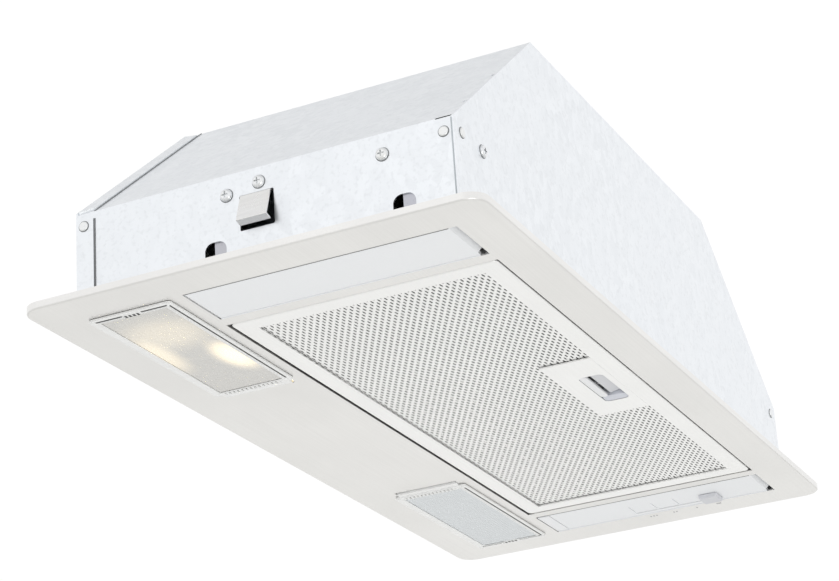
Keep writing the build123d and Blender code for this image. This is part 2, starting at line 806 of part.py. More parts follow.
with BuildPart() as motor_stator:
    with BuildSketch(Plane.YZ.offset(-98)):
        with Locations((0, fan_axis_z)):
            Circle(motor_radius - motor_wall)
            Circle(20, mode=Mode.SUBTRACT)
    extrude(amount=28)
keep(motor_stator.part, "motor_stator")

with BuildPart() as motor_rotor:
    with BuildSketch(Plane.YZ.offset(-98)):
        with Locations((0, fan_axis_z)):
            Circle(19.4)
            Circle(shaft_radius, mode=Mode.SUBTRACT)
    extrude(amount=28)
keep(motor_rotor.part, "motor_rotor")

leg_ring = 43.0
with BuildPart() as motor_bracket:
    with BuildSketch(Plane.YZ.offset(-88)):
        with Locations((0, fan_axis_z)):
            Circle(motor_radius + 2.2)
            Circle(motor_radius, mode=Mode.SUBTRACT)
            with PolarLocations(leg_ring - 4.5, 3, start_angle=90):
                Rectangle(9, 12)
            Circle(motor_radius, mode=Mode.SUBTRACT)
    extrude(amount=10)
    with BuildSketch(Plane.YZ.offset(-scroll_half_width - scroll_wall)):
        with Locations((0, fan_axis_z)):
            with PolarLocations(leg_ring - 2, 3, start_angle=90):
                Circle(3.5)
    extrude(amount=-(78 - scroll_half_width - scroll_wall))
keep(motor_bracket.part, "motor_bracket")

# ---- electrics on the rear panel ----
with BuildPart() as capacitor:
    with BuildSketch(Plane.XZ.offset(-shell_rear + fit_gap)):
        with Locations((-120, 70)):
            Circle(15)
    extrude(amount=42)
    fillet(capacitor.edges().filter_by(GeomType.CIRCLE), radius=2)
keep(capacitor.part, "capacitor")

box_rear = shell_rear - fit_gap
with BuildPart() as terminal_box:
    with BuildSketch(Plane.XZ.offset(-box_rear)):
        with Locations((gland_x, gland_z)):
            RectangleRounded(60, 42, 3)
    extrude(amount=30)
    with BuildSketch(Plane.XZ.offset(-box_rear + 1.6)):
        with Locations((gland_x, gland_z)):
            RectangleRounded(56.8, 38.8, 1.5)
    extrude(amount=30, mode=Mode.SUBTRACT)
    with BuildSketch(Plane.XZ.offset(-box_rear - 1)):
        with Locations((gland_x, gland_z)):
            Circle(8.2)
    extrude(amount=4, mode=Mode.SUBTRACT)
keep(terminal_box.part, "terminal_box")

with BuildPart() as terminal_lid:
    with BuildSketch(Plane.XZ.offset(-box_rear + 30)):
        with Locations((gland_x, gland_z)):
            RectangleRounded(60, 42, 3)
    extrude(amount=1.6)
keep(terminal_lid.part, "terminal_lid")

with BuildPart() as cable_gland:
    with BuildSketch(Plane.XZ.offset(-box_rear + 5)):
        with Locations((gland_x, gland_z)):
            Circle(8.0)
    extrude(amount=-17)
    with BuildSketch(Plane.XZ.offset(-housing_rear)):
        with Locations((gland_x, gland_z)):
            RegularPolygon(10.5, 6)
    extrude(amount=-5)
    with BuildSketch(Plane.XZ.offset(-box_rear + 1.6)):
        with Locations((gland_x, gland_z)):
            RegularPolygon(10.5, 6)
    extrude(amount=3)
    with BuildSketch(Plane.XZ.offset(-box_rear + 6)):
        with Locations((gland_x, gland_z)):
            Circle(4.5)
    extrude(amount=-20, mode=Mode.SUBTRACT)
keep(cable_gland.part, "cable_gland")

# ---- outlet collar with two back-draught flaps on one axle ----
with BuildPart() as outlet_collar:
    with BuildSketch(Plane.XY.offset(housing_height)):
        Circle(collar_flange_radius)
        with PolarLocations(65, 4, start_angle=45):
            Circle(1.6, mode=Mode.SUBTRACT)
    extrude(amount=1.6)
    with BuildSketch(Plane.XY.offset(housing_height)):
        Circle(collar_radius)
    extrude(amount=collar_top - housing_height)
    with BuildSketch(Plane.XY.offset(housing_height)):
        Circle(collar_radius - collar_wall)
    extrude(amount=collar_top - housing_height, mode=Mode.SUBTRACT)
    with BuildSketch(Plane.XY.offset(damper_axle_z - 2.2)):
        Circle(collar_radius - collar_wall)
        Circle(54, mode=Mode.SUBTRACT)
    extrude(amount=1.2)
    with BuildSketch(Plane.XZ.offset(-collar_radius - 1)):
        with Locations((0, damper_axle_z)):
            Circle(damper_axle_radius + 0.02)
    extrude(amount=2 * collar_radius + 2, mode=Mode.SUBTRACT)
keep(outlet_collar.part, "outlet_collar")

with BuildPart() as collar_screws:
    with PolarLocations(65, 4, start_angle=45):
        add(domed(Plane(origin=(0, 0, housing_height + 1.6)), 2.8, 1.8, 1.5, 5.0, recess=2.8))
keep(collar_screws.part, "collar_screws")

with BuildPart() as damper_axle:
    with BuildSketch(Plane.XZ.offset(-collar_radius + 0.2)):
        with Locations((0, damper_axle_z)):
            Circle(damper_axle_radius)
    extrude(amount=2 * collar_radius - 0.4)
keep(damper_axle.part, "damper_axle")

knuckle_radius = 2.9
knuckles = {"left": ((-15, 20), (40, 20)), "right": ((15, 20), (-40, 20))}
for hand, side in sides.items():
    with BuildPart() as flap:
        with BuildSketch(Plane.XY.offset(damper_axle_z - 0.5)):
            Circle(damper_radius)
            with Locations((side * 3.4, 0)):
                Rectangle(200, 200, align=(Align.MAX if side > 0 else Align.MIN, Align.CENTER), mode=Mode.SUBTRACT)
            for middle, length in knuckles[hand]:
                with Locations((side * 2.4, middle)):
                    Rectangle(2.4, length)
        extrude(amount=1.0)
        for middle, length in knuckles[hand]:
            with BuildSketch(Plane.XZ.offset(-middle - length / 2)):
                with Locations((0, damper_axle_z)):
                    Circle(knuckle_radius)
            extrude(amount=length)
        with BuildSketch(Plane.XZ.offset(-damper_radius)):
            with Locations((0, damper_axle_z)):
                Circle(damper_axle_radius + running_gap)
        extrude(amount=2 * damper_radius, mode=Mode.SUBTRACT)
    keep(flap.part, f"damper_flap_{hand}")
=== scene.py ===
import json
import math

import bmesh
import bpy
from mathutils import Matrix, Vector, noise


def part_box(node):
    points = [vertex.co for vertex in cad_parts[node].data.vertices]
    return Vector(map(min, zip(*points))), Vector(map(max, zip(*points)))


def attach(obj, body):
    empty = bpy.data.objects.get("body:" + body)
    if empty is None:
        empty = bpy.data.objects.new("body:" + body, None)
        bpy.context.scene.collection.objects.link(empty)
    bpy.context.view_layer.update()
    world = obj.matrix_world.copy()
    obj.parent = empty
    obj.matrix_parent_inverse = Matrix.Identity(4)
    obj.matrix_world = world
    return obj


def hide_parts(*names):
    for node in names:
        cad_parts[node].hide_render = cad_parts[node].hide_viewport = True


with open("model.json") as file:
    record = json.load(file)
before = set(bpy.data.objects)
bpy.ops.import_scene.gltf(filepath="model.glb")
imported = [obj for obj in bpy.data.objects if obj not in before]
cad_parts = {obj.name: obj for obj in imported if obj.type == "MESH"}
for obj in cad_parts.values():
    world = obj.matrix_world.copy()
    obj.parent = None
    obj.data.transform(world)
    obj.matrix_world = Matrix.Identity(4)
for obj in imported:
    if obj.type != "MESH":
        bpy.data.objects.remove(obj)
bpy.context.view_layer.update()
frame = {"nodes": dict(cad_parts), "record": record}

bl_info = {
    "name": "Cabinet Range Hood Looks",
    "version": (1, 0, 0),
    "blender": (4, 5, 0),
    "location": "3D View > Sidebar > Range Hood",
    "description": "Finishes, fine pieces and studio for a built-in range hood",
    "category": "Add Mesh",
}

MM = 0.001
WELD = 1e-7  # points closer than this are one point
USUAL_LOW, USUAL_HIGH = 0.3, 0.7  # most of a noise texture's values lie between these
SLOT_OF = {part["node"]: part["material_slot"] for part in frame["record"]["subparts"]}


# ---- settings a user would change ----
def colour(label, about, default):
    return bpy.props.FloatVectorProperty(
        name=label, description=about, subtype="COLOR", size=3, min=0.0, max=1.0, default=default
    )


def length(label, about, millimetres):
    return bpy.props.FloatProperty(
        name=label, description=about, subtype="DISTANCE", unit="LENGTH", default=millimetres * MM
    )


class HoodFinishes(bpy.types.PropertyGroup):
    stainless: colour("Stainless", "Tint of the brushed trim plate", (0.83, 0.823, 0.81))
    galvanised: colour("Galvanised", "Tint of the housing sheet", (0.86, 0.885, 0.915))
    zinc: colour("Zinc", "Tint of plated screws and brackets", (0.82, 0.84, 0.87))
    # the lugs are the same plated zinc: their darker tint is painted shade behind the slots
    shaded_lug: colour("Lugs", "Tint of the upright lugs behind the slots", (0.50, 0.51, 0.57))
    spring: colour("Spring steel", "Tint of the clips", (0.93, 0.93, 0.925))
    aluminium: colour("Filter aluminium", "Tint of the filter", (0.96, 0.96, 0.955))
    strip: colour("Strip moulding", "Colour of the blank and control strips", (0.875, 0.89, 0.915))
    control: colour("Control moulding", "Colour of the slider and the button", (0.87, 0.88, 0.905))
    slider: colour("Slider moulding", "Colour of the fan slider", (0.66, 0.67, 0.71))
    latch: colour("Latch moulding", "Colour of the latch end block", (0.66, 0.68, 0.75))
    black: colour("Black moulding", "Colour of collar, flaps and electrics", (0.022, 0.023, 0.025))
    fan: colour("Fan moulding", "Colour of wheel and scroll", (0.10, 0.105, 0.115))
    glow: colour("Lamp glow", "Colour of the lit lamp", (1.0, 0.80, 0.46))


class HoodFilter(bpy.types.PropertyGroup):
    hole_pitch: length("Hole pitch", "From hole to hole along a row", 6.6)
    row_pitch: length("Row pitch", "From one row of holes to the next", 1.9)
    hole_length: length("Hole length", "Long way of one hole", 3.6)
    hole_width: length("Hole width", "Short way of one hole", 1.24)
    strand_tilt: length("Strand tilt", "How far a strand twists out of the sheet", 0.16)
    sheet: length("Sheet", "Thickness of one mesh layer", 0.22)


class HoodLens(bpy.types.PropertyGroup):
    prism_pitch: length("Prism pitch", "Spacing of the small prisms", 2.0)
    prism_height: length("Prism height", "Height of the small prisms", 0.32)
    border: length("Border", "Clear margin round the prisms", 4.6)
    rib_count: bpy.props.IntProperty(
        name="Ribs", description="Grip ribs at the hinge end", min=3, max=30, default=13
    )


class HoodStudio(bpy.types.PropertyGroup):
    lens: bpy.props.FloatProperty(
        name="Lens", description="Focal length on a 36 mm wide sensor, in millimetres",
        unit="CAMERA", default=105.36,
    )
    heading: bpy.props.FloatProperty(
        name="Heading", description="Where the camera looks, from +X towards +Y",
        subtype="ANGLE", default=math.radians(24.052),
    )
    pitch: bpy.props.FloatProperty(
        name="Pitch", description="How far the camera looks up",
        subtype="ANGLE", default=math.radians(22.663),
    )
    roll: bpy.props.FloatProperty(
        name="Roll", description="Turn of the camera about its own axis",
        subtype="ANGLE", default=math.radians(3.836),
    )
    eye: bpy.props.FloatVectorProperty(
        name="Eye", description="Where the camera stands", subtype="TRANSLATION", size=3,
        default=(-1.2008, -0.5092, -0.4668),
    )
    floor_drop: length("Floor drop", "How far below the hood the floor lies", 2900)


def settings():
    return bpy.context.scene.hood


class HoodSettings(bpy.types.PropertyGroup):
    finishes: bpy.props.PointerProperty(type=HoodFinishes)
    filter: bpy.props.PointerProperty(type=HoodFilter)
    lamp_lens: bpy.props.PointerProperty(type=HoodLens)
    studio: bpy.props.PointerProperty(type=HoodStudio)


# ---- how a finish is made ----
def set_range(node, start, end, low, high):
    """Values from start to end come out as low to high."""
    for socket, number in zip(("From Min", "From Max", "To Min", "To Max"), (start, end, low, high)):
        node.inputs[socket].default_value = number


class Finish:
    """One Principled material, textured in the object's own coordinates."""

    def __init__(self, name, base, **shader):
        self.material = bpy.data.materials.new(name)
        self.material.use_nodes = True
        self.material.diffuse_color = (*base, 1)
        self.nodes = self.material.node_tree.nodes
        self.link = self.material.node_tree.links.new
        self.shader = self.nodes["Principled BSDF"]
        self.place = self.add("TexCoord").outputs["Object"]
        self.base = base
        self.last_bump = None
        self.set(**shader)

    def add(self, kind):
        return self.nodes.new("ShaderNode" + kind)

    def set(self, **shader):
        for socket, value in shader.items():
            self.shader.inputs[socket.replace("_", " ")].default_value = value

    def pattern(self, kind, scale, stretch=(1, 1, 1), output=0, **texture_settings):
        """A texture's value. scale counts repeats per metre, stretch changes it along each axis."""
        mapping = self.add("Mapping")
        mapping.inputs["Scale"].default_value = stretch
        self.link(self.place, mapping.inputs["Vector"])
        texture = self.add("Tex" + kind)
        texture.inputs["Scale"].default_value = scale
        for key, value in texture_settings.items():
            if key in texture.inputs:
                texture.inputs[key].default_value = value
            else:
                setattr(texture, key, value)
        self.link(mapping.outputs["Vector"], texture.inputs["Vector"])
        return texture.outputs[output]

    def remap(self, value, low, high, start=USUAL_LOW, end=USUAL_HIGH, blend="LINEAR"):
        node = self.add("MapRange")
        node.interpolation_type = blend
        set_range(node, start, end, low, high)
        self.link(value, node.inputs["Value"])
        return node.outputs["Result"]

    def tint(self, value, other, start=USUAL_LOW, end=USUAL_HIGH):
        """Base colour runs from the finish's own colour to the other as value goes from start to end."""
        node = self.add("Mix")
        node.data_type = "RGBA"
        self.link(self.remap(value, 0.0, 1.0, start, end), node.inputs[0])
        before = self.shader.inputs["Base Color"]
        if before.is_linked:
            self.link(before.links[0].from_socket, node.inputs[6])
        else:
            node.inputs[6].default_value = (*self.base, 1)
        node.inputs[7].default_value = (*other, 1)
        self.link(node.outputs[2], before)

    def shade(self, value, factor, start=USUAL_LOW, end=USUAL_HIGH):
        """Like tint, towards the finish's own colour times factor."""
        self.tint(value, [min(1.0, channel * factor) for channel in self.base], start, end)

    def gloss(self, value, low, high, start=USUAL_LOW, end=USUAL_HIGH):
        self.link(self.remap(value, low, high, start, end), self.shader.inputs["Roughness"])

    def relief(self, value, height):
        """Adds relief: height in millimetres between the texture's 0 and 1."""
        bump = self.add("Bump")
        bump.inputs["Distance"].default_value = height * MM
        self.link(value, bump.inputs["Height"])
        if self.last_bump:
            self.link(self.last_bump, bump.inputs["Normal"])
        self.last_bump = bump.outputs["Normal"]
        self.link(self.last_bump, self.shader.inputs["Normal"])


def new_object(name, data):
    made = bpy.data.objects.new(name, data)
    bpy.context.collection.objects.link(made)
    return made


def new_mesh(name, bm, finishes):
    mesh = bpy.data.meshes.new(name)
    bm.to_mesh(mesh)
    bm.free()
    for finish in finishes:
        mesh.materials.append(finish.material)
    return mesh


def paint(nodes, finish):
    for name in nodes:
        mesh = frame["nodes"][name].data
        mesh.materials.clear()
        mesh.materials.append(finish.material)


def nodes_in(slot, *others):
    return [name for name, own in SLOT_OF.items() if own == slot and name not in others]


# ---- sheet metals ----
def brushed_stainless(tint):
    steel = Finish("brushed_stainless", tint, Metallic=1.0, Roughness=0.32)
    grain = steel.pattern("Noise", 900, (0.012, 1, 1), Detail=3)
    cloud = steel.pattern("Noise", 7, Detail=3)
    smear = steel.pattern("Noise", 38, (0.35, 1, 1), Detail=5, Distortion=0.6)
    steel.shade(grain, 1.045, start=0.35, end=0.65)
    steel.shade(cloud, 0.96)
    steel.gloss(smear, 0.28, 0.37)
    steel.relief(grain, 0.004)
    steel.relief(cloud, 0.25)
    return steel


def galvanised_sheet(tint):
    """Zinc-dipped sheet: faint crystals, rolling marks and a few handling smears."""
    sheet = Finish("galvanised_sheet", tint, Metallic=1.0, Roughness=0.34)
    crystal = sheet.pattern("Voronoi", 210, (1, 1, 0.7), output="Color", Randomness=1.0)
    cloud = sheet.pattern("Noise", 9, Detail=4, Distortion=0.8)
    rolling = sheet.pattern("Noise", 260, (1, 0.03, 1), Detail=2)
    speck = sheet.pattern("Noise", 420, Detail=3)
    sheet.shade(crystal, 0.945, start=0.2, end=0.8)
    sheet.shade(cloud, 0.975)
    sheet.shade(speck, 0.91, start=0.52, end=0.7)
    sheet.gloss(crystal, 0.3, 0.38, start=0.2, end=0.8)
    sheet.relief(rolling, 0.01)
    sheet.relief(cloud, 0.35)
    return sheet


def plated_zinc(name, tint):
    zinc = Finish(name, tint, Metallic=1.0, Roughness=0.3)
    haze = zinc.pattern("Noise", 45, Detail=4, Distortion=1.0)
    speck = zinc.pattern("Noise", 900, Detail=2)
    zinc.tint(haze, (tint[0] * 1.02, tint[1], tint[2] * 0.95))
    zinc.shade(speck, 0.86, start=0.6, end=0.75)
    zinc.gloss(haze, 0.24, 0.4)
    zinc.relief(speck, 0.006)
    return zinc


def spring_leaf(tint):
    leaf = Finish("spring_leaf", tint, Metallic=1.0, Roughness=0.26)
    drawn = leaf.pattern("Noise", 800, (1, 0.03, 1), Detail=3)
    temper = leaf.pattern("Noise", 60, Detail=3)
    leaf.shade(drawn, 0.94)
    leaf.tint(temper, (tint[0] * 0.95, tint[1] * 0.93, tint[2] * 0.9), start=0.45, end=0.85)
    leaf.gloss(temper, 0.2, 0.34)
    leaf.relief(drawn, 0.005)
    return leaf


def rolled_aluminium(name, tint, roughness=0.36):
    metal = Finish(name, tint, Metallic=0.7, Roughness=roughness)
    rolled = metal.pattern("Noise", 700, (0.03, 1, 1), Detail=3)
    cloud = metal.pattern("Noise", 20, Detail=3)
    metal.shade(rolled, 0.95)
    metal.shade(cloud, 0.97)
    metal.gloss(cloud, roughness - 0.06, roughness + 0.07)
    metal.relief(rolled, 0.006)
    return metal


class HOOD_OT_sheet_metal(bpy.types.Operator):
    """Give the trim plate, housing, brackets, clips and fasteners their metal finishes"""

    bl_idname = "hood.sheet_metal"
    bl_label = "Finish sheet metal"

    def execute(self, context):
        tints = settings().finishes
        paint(nodes_in("stainless"), brushed_stainless(tints.stainless))
        paint(nodes_in("galvanised"), galvanised_sheet(tints.galvanised))
        paint(nodes_in("zinc_steel", "plate_lugs"), plated_zinc("plated_zinc", tints.zinc))
        # a darker copy of the zinc for the lugs: painted shade behind the slots
        paint(["plate_lugs"], plated_zinc("lug_zinc_painted_shade", tints.shaded_lug))
        paint(nodes_in("spring_steel"), spring_leaf(tints.spring))
        paint(nodes_in("filter_aluminium"), rolled_aluminium("frame_aluminium", tints.aluminium))
        return {"FINISHED"}


# ---- mouldings ----
def moulding(name, tint, roughness, grain=0.012, grain_scale=900):
    """Injection moulding: fine spark-eroded grain (millimetres deep), faint flow marks, slight haze."""
    plastic = Finish(name, tint, Roughness=roughness)
    spark = plastic.pattern("Noise", grain_scale, Detail=2)
    flow = plastic.pattern("Noise", 14, (1, 0.4, 1), Detail=2, Distortion=0.5)
    plastic.shade(flow, 0.96)
    plastic.shade(spark, 0.975)
    plastic.gloss(flow, roughness - 0.05, roughness + 0.06)
    plastic.relief(spark, grain)
    return plastic


class HOOD_OT_mouldings(bpy.types.Operator):
    """Give the strips, controls, collar, flaps and electrics their moulded finishes"""

    bl_idname = "hood.mouldings"
    bl_label = "Finish mouldings"

    def execute(self, context):
        tints = settings().finishes
        paint(["blank_strip", "control_strip"], moulding("strip_moulding", tints.strip, roughness=0.38))
        paint(["fan_slider"], moulding("slider_moulding", tints.slider, roughness=0.34))
        paint(["light_button"], moulding("control_moulding", tints.control, roughness=0.34))
        paint(nodes_in("latch_plastic"), moulding("latch_moulding", tints.latch, roughness=0.42))
        coarse = {"grain": 0.02, "grain_scale": 500}
        paint(nodes_in("dark_plastic"), moulding("black_moulding", tints.black, roughness=0.45, **coarse))
        paint(nodes_in("fan_plastic"), moulding("fan_moulding", tints.fan, roughness=0.5, **coarse))
        return {"FINISHED"}


# ---- inside the housing ----
def laminations(name, tint):
    """Stacked steel sheets seen edge on."""
    stack = Finish(name, tint, Metallic=0.8, Roughness=0.5)
    edges = stack.pattern("Wave", 320, (1, 0, 0), output="Fac", bands_direction="X", Distortion=0.4)
    varnish = stack.pattern("Noise", 60, Detail=4)
    stack.shade(edges, 0.45)
    stack.tint(varnish, (0.42, 0.2, 0.08), start=0.45, end=0.8)
    stack.relief(edges, 0.08)
    return stack


def enamel(name, tint, roughness):
    coat = Finish(name, tint, Roughness=roughness, Coat_Weight=0.25, Coat_Roughness=0.15)
    peel = coat.pattern("Noise", 240, Detail=2)
    age = coat.pattern("Noise", 16, Detail=4)
    coat.shade(age, 0.95)
    coat.gloss(age, roughness - 0.04, roughness + 0.08)
    coat.relief(peel, 0.015)
    return coat


def motor_case_steel():
    case = Finish("motor_case_steel", (0.36, 0.37, 0.39), Metallic=0.9, Roughness=0.38)
    drawn = case.pattern("Noise", 500, (0.05, 1, 1), Detail=3)
    oil = case.pattern("Noise", 28, Detail=4, Distortion=0.7)
    case.shade(drawn, 0.85)
    case.gloss(oil, 0.3, 0.5)
    case.relief(drawn, 0.01)
    return case


class HOOD_OT_blower(bpy.types.Operator):
    """Give the motor, lamp pans, lamp holders and capacitor their finishes"""

    bl_idname = "hood.blower"
    bl_label = "Finish the insides"

    def execute(self, context):
        paint(nodes_in("winding"), laminations("laminated_stack", (0.30, 0.28, 0.26)))
        paint(nodes_in("motor_steel"), motor_case_steel())
        paint(nodes_in("lamp_white"), enamel("white_enamel", (0.83, 0.83, 0.81), roughness=0.3))
        paint(nodes_in("ceramic"), enamel("glazed_ceramic", (0.80, 0.79, 0.75), roughness=0.22))
        paint(["capacitor"], enamel("capacitor_can", (0.62, 0.63, 0.66), roughness=0.3))
        box = moulding("box_moulding", (0.30, 0.31, 0.33), roughness=0.45)
        paint(["terminal_box", "terminal_lid"], box)
        return {"FINISHED"}


# ---- mesh building ----
def in_mm(*pairs):
    return [(a * MM, b * MM) for a, b in pairs]


def points_of(node):
    """The points of a node's mesh in the frame."""
    solid = frame["nodes"][node]
    return [solid.matrix_world @ vert.co for vert in solid.data.vertices]


def finish_piece(name, bm, body, finishes, smooth=False):
    """Turns a bmesh into a piece that rides on a body."""
    bmesh.ops.recalc_face_normals(bm, faces=bm.faces)
    for face in bm.faces:
        face.smooth = smooth
    piece = new_object(name, new_mesh(name, bm, finishes))
    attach(piece, body)
    return piece


def slab(bm, low, high, bevel=0.0, finish=0, segments=2):
    """A box between two corners with rounded edges."""
    low, high = Vector(low), Vector(high)
    centre, size = (low + high) / 2, high - low
    made = bmesh.ops.create_cube(bm, size=1, matrix=Matrix.Translation(centre) @ Matrix.Diagonal((*size, 1)))
    faces = {face for vert in made["verts"] for face in vert.link_faces}
    for face in faces:
        face.material_index = finish
    if bevel:
        edges = list({edge for vert in made["verts"] for edge in vert.link_edges})
        offset = min(bevel, min(size) * 0.45)
        rounded = bmesh.ops.bevel(
            bm, geom=edges, offset=offset, segments=segments, profile=0.6, affect="EDGES"
        )
        for face in rounded["faces"]:
            face.material_index = finish


def tube_profile(bm, profile, axis_point, axis, steps, finish=0):
    """Revolves (along, radius) points about an axis through axis_point."""
    axis = Vector(axis).normalized()
    across = axis.orthogonal().normalized()
    other = axis.cross(across)
    rings = []
    for along, radius in profile:
        centre = Vector(axis_point) + axis * along
        if radius < WELD:
            rings.append([bm.verts.new(centre)])
            continue
        ring = []
        for step in range(steps):
            turn = 2 * math.pi * step / steps
            spoke = across * math.cos(turn) + other * math.sin(turn)
            ring.append(bm.verts.new(centre + spoke * radius))
        rings.append(ring)
    for near, far in zip(rings, rings[1:]):
        for step in range(steps):
            following = (step + 1) % steps
            quad = (near[step % len(near)], near[following % len(near)],
                    far[following % len(far)], far[step % len(far)])
            corners = list(dict.fromkeys(quad))
            if len(corners) > 2:
                bm.faces.new(corners).material_index = finish


def rounded_rectangle(x0, y0, x1, y1, radius, steps=5):
    """Outline points, counter-clockwise from the low corner."""
    x0, x1 = sorted((x0, x1))
    y0, y1 = sorted((y0, y1))
    left, right, front, rear = x0 + radius, x1 - radius, y0 + radius, y1 - radius
    centres = ((right, rear), (left, rear), (left, front), (right, front))
    points = []
    for quarter, (cx, cy) in enumerate(centres):
        for step in range(steps + 1):
            turn = (quarter + step / steps) * math.pi / 2
            points.append((cx + radius * math.cos(turn), cy + radius * math.sin(turn)))
    return points


def cut_sheet(bm, outlines, low, high, bevel, finish=0):
    """A flat sheet between two heights inside the first outline, with the others cut out, edges rounded."""
    curve = bpy.data.curves.new("outline", "CURVE")
    curve.dimensions = "2D"
    curve.fill_mode = "BOTH"
    curve.extrude = (high - low) / 2 - bevel
    curve.bevel_depth = bevel
    curve.bevel_resolution = 2
    curve.offset = -bevel
    for outline in outlines:
        spline = curve.splines.new("POLY")
        spline.points.add(len(outline) - 1)
        for point, (x, y) in zip(spline.points, outline):
            point.co = (x, y, 0, 1)
        spline.use_cyclic_u = True
    holder = bpy.data.objects.new("outline", curve)
    mesh = bpy.data.meshes.new_from_object(holder)
    mesh.transform(Matrix.Translation((0, 0, (low + high) / 2)))
    before = set(bm.faces)
    bm.from_mesh(mesh)
    added = [face for face in bm.faces if face not in before]
    for face in added:
        face.material_index = finish
    corners = list(dict.fromkeys(vert for face in added for vert in face.verts))
    bmesh.ops.remove_doubles(bm, verts=corners, dist=WELD)
    bpy.data.objects.remove(holder)
    bpy.data.curves.remove(curve)
    bpy.data.meshes.remove(mesh)


def band(bm, near, far, finish=0):
    """Faces between two closed rings with the same number of points."""
    for k in range(len(near)):
        following = (k + 1) % len(near)
        bm.faces.new((near[k], near[following], far[following], far[k])).material_index = finish


def shallow_cup(bm, outline, low, high, finish):
    """Upright wall along a closed outline, closed by a floor at the upper height."""
    rings = [[bm.verts.new((x, y, z)) for x, y in outline] for z in (low, high)]
    band(bm, *rings, finish)
    bm.faces.new(rings[1]).material_index = finish


# ---- grease filter ----
SWAY = 0.12 * MM
SWAYS_PER_METRE = 40
FRAME_BORDER = 10.8 * MM  # width of the rolled frame
TUCK = 1.5 * MM  # how far a layer reaches into the frame
CELL_RIM = ((-1, -1), (0, -1), (1, -1), (1, 1), (0, 1), (-1, 1))
HOLE_RIM = ((-1, -0.55), (0, -1), (1, -0.55), (1, 0.55), (0, 1), (-1, 0.55))


def perforated_layer(bm, low, high, level, gaps, scale, tilt, seed):
    """Brick-laid oblong holes in a slightly wavy sheet. gaps are (low, high) rectangles left open."""
    sizes = settings().filter
    cell = Vector((sizes.hole_pitch, sizes.row_pitch)) * scale / 2
    hole = Vector((sizes.hole_length, sizes.hole_width)) * scale / 2
    corners = {}

    def height(x, y):
        return level + SWAY * noise.noise(Vector((x * SWAYS_PER_METRE, y * SWAYS_PER_METRE, seed)))

    def corner(x, y):
        key = (round(x * 1e5), round(y * 1e5))
        if key not in corners:
            corners[key] = bm.verts.new((x, y, height(x, y)))
        return corners[key]

    rows = int((high.y - low.y) / (2 * cell.y))
    columns = int((high.x - low.x) / (2 * cell.x))
    for row in range(rows):
        y = low.y + (2 * row + 1) * cell.y
        for column in range(columns):
            x = low.x + (2 * column + 1 + row % 2) * cell.x
            if any(a[0] < x < b[0] and a[1] < y < b[1] for a, b in gaps):
                continue
            rim = [corner(x + dx * cell.x, y + dy * cell.y) for dx, dy in CELL_RIM]
            middle = height(x, y)
            lip = [
                bm.verts.new((x + dx * hole.x, y + dy * hole.y, middle + dy * tilt)) for dx, dy in HOLE_RIM
            ]
            band(bm, rim, lip)


def mesh_layer(name, scale, tilt, seed, finish):
    low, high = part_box(name)
    frame_low, frame_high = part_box("filter_frame")
    cup_low, cup_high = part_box("latch_block")
    lever_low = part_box("latch_lever")[0]
    inset = Vector((FRAME_BORDER, FRAME_BORDER, 0)) - Vector((TUCK, TUCK, 0))
    beside = 3.5 * MM
    cup = ((lever_low.x - 5 * MM, cup_low.y - beside), (cup_high.x + 3 * MM, cup_high.y + beside))
    bolt_way = ((-5 * MM, frame_low.y), (11 * MM, cup_low.y))
    bm = bmesh.new()
    level = (low.z + high.z) / 2
    perforated_layer(bm, frame_low + inset, frame_high - inset, level, (cup, bolt_way), scale, tilt, seed)
    piece = finish_piece(name + "_sheet", bm, "filter", [finish])
    solid = piece.modifiers.new("sheet thickness", "SOLIDIFY")
    solid.thickness = settings().filter.sheet
    solid.offset = 0.0
    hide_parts(name)


class HOOD_OT_filter(bpy.types.Operator):
    """Build the three perforated layers of the grease filter"""

    bl_idname = "hood.filter"
    bl_label = "Build filter layers"

    def execute(self, context):
        tint = settings().finishes.aluminium
        tilt = settings().filter.strand_tilt
        bright = rolled_aluminium("mesh_aluminium", tint, roughness=0.34)
        # the core is aluminium drawn at a twentieth of its tint: painted shade between the outer layers
        inner = rolled_aluminium("core_aluminium_painted_shade", [channel * 0.05 for channel in tint], roughness=0.5)
        mesh_layer("filter_mesh_face", scale=1.0, tilt=tilt, seed=1.0, finish=bright)
        mesh_layer("filter_mesh_core", scale=1.35, tilt=2 * tilt, seed=7.0, finish=inner)
        mesh_layer("filter_mesh_back", scale=1.0, tilt=tilt, seed=13.0, finish=bright)
        return {"FINISHED"}


# ---- lamps ----
def clear_plastic():
    clear = Finish(
        "clear_lens_rim", (0.93, 0.935, 0.935), Roughness=0.16, IOR=1.49, Transmission_Weight=0.06,
        Coat_Weight=0.4, Coat_Roughness=0.08,
    )
    ripple = clear.pattern("Noise", 180, Detail=2)
    clear.shade(ripple, 0.93)
    clear.gloss(ripple, 0.1, 0.24)
    clear.relief(ripple, 0.02)
    return clear


def frosted_plastic(name, tint):
    frost = Finish(name, tint, Roughness=0.42, IOR=1.49, Transmission_Weight=0.06)
    speckle = frost.pattern("Voronoi", 620, output="Distance")
    haze = frost.pattern("Noise", 26, Detail=3)
    frost.shade(speckle, 0.93, start=0.2, end=0.7)
    frost.shade(haze, 0.955)
    frost.gloss(haze, 0.36, 0.5)
    frost.relief(speckle, 0.03)
    return frost


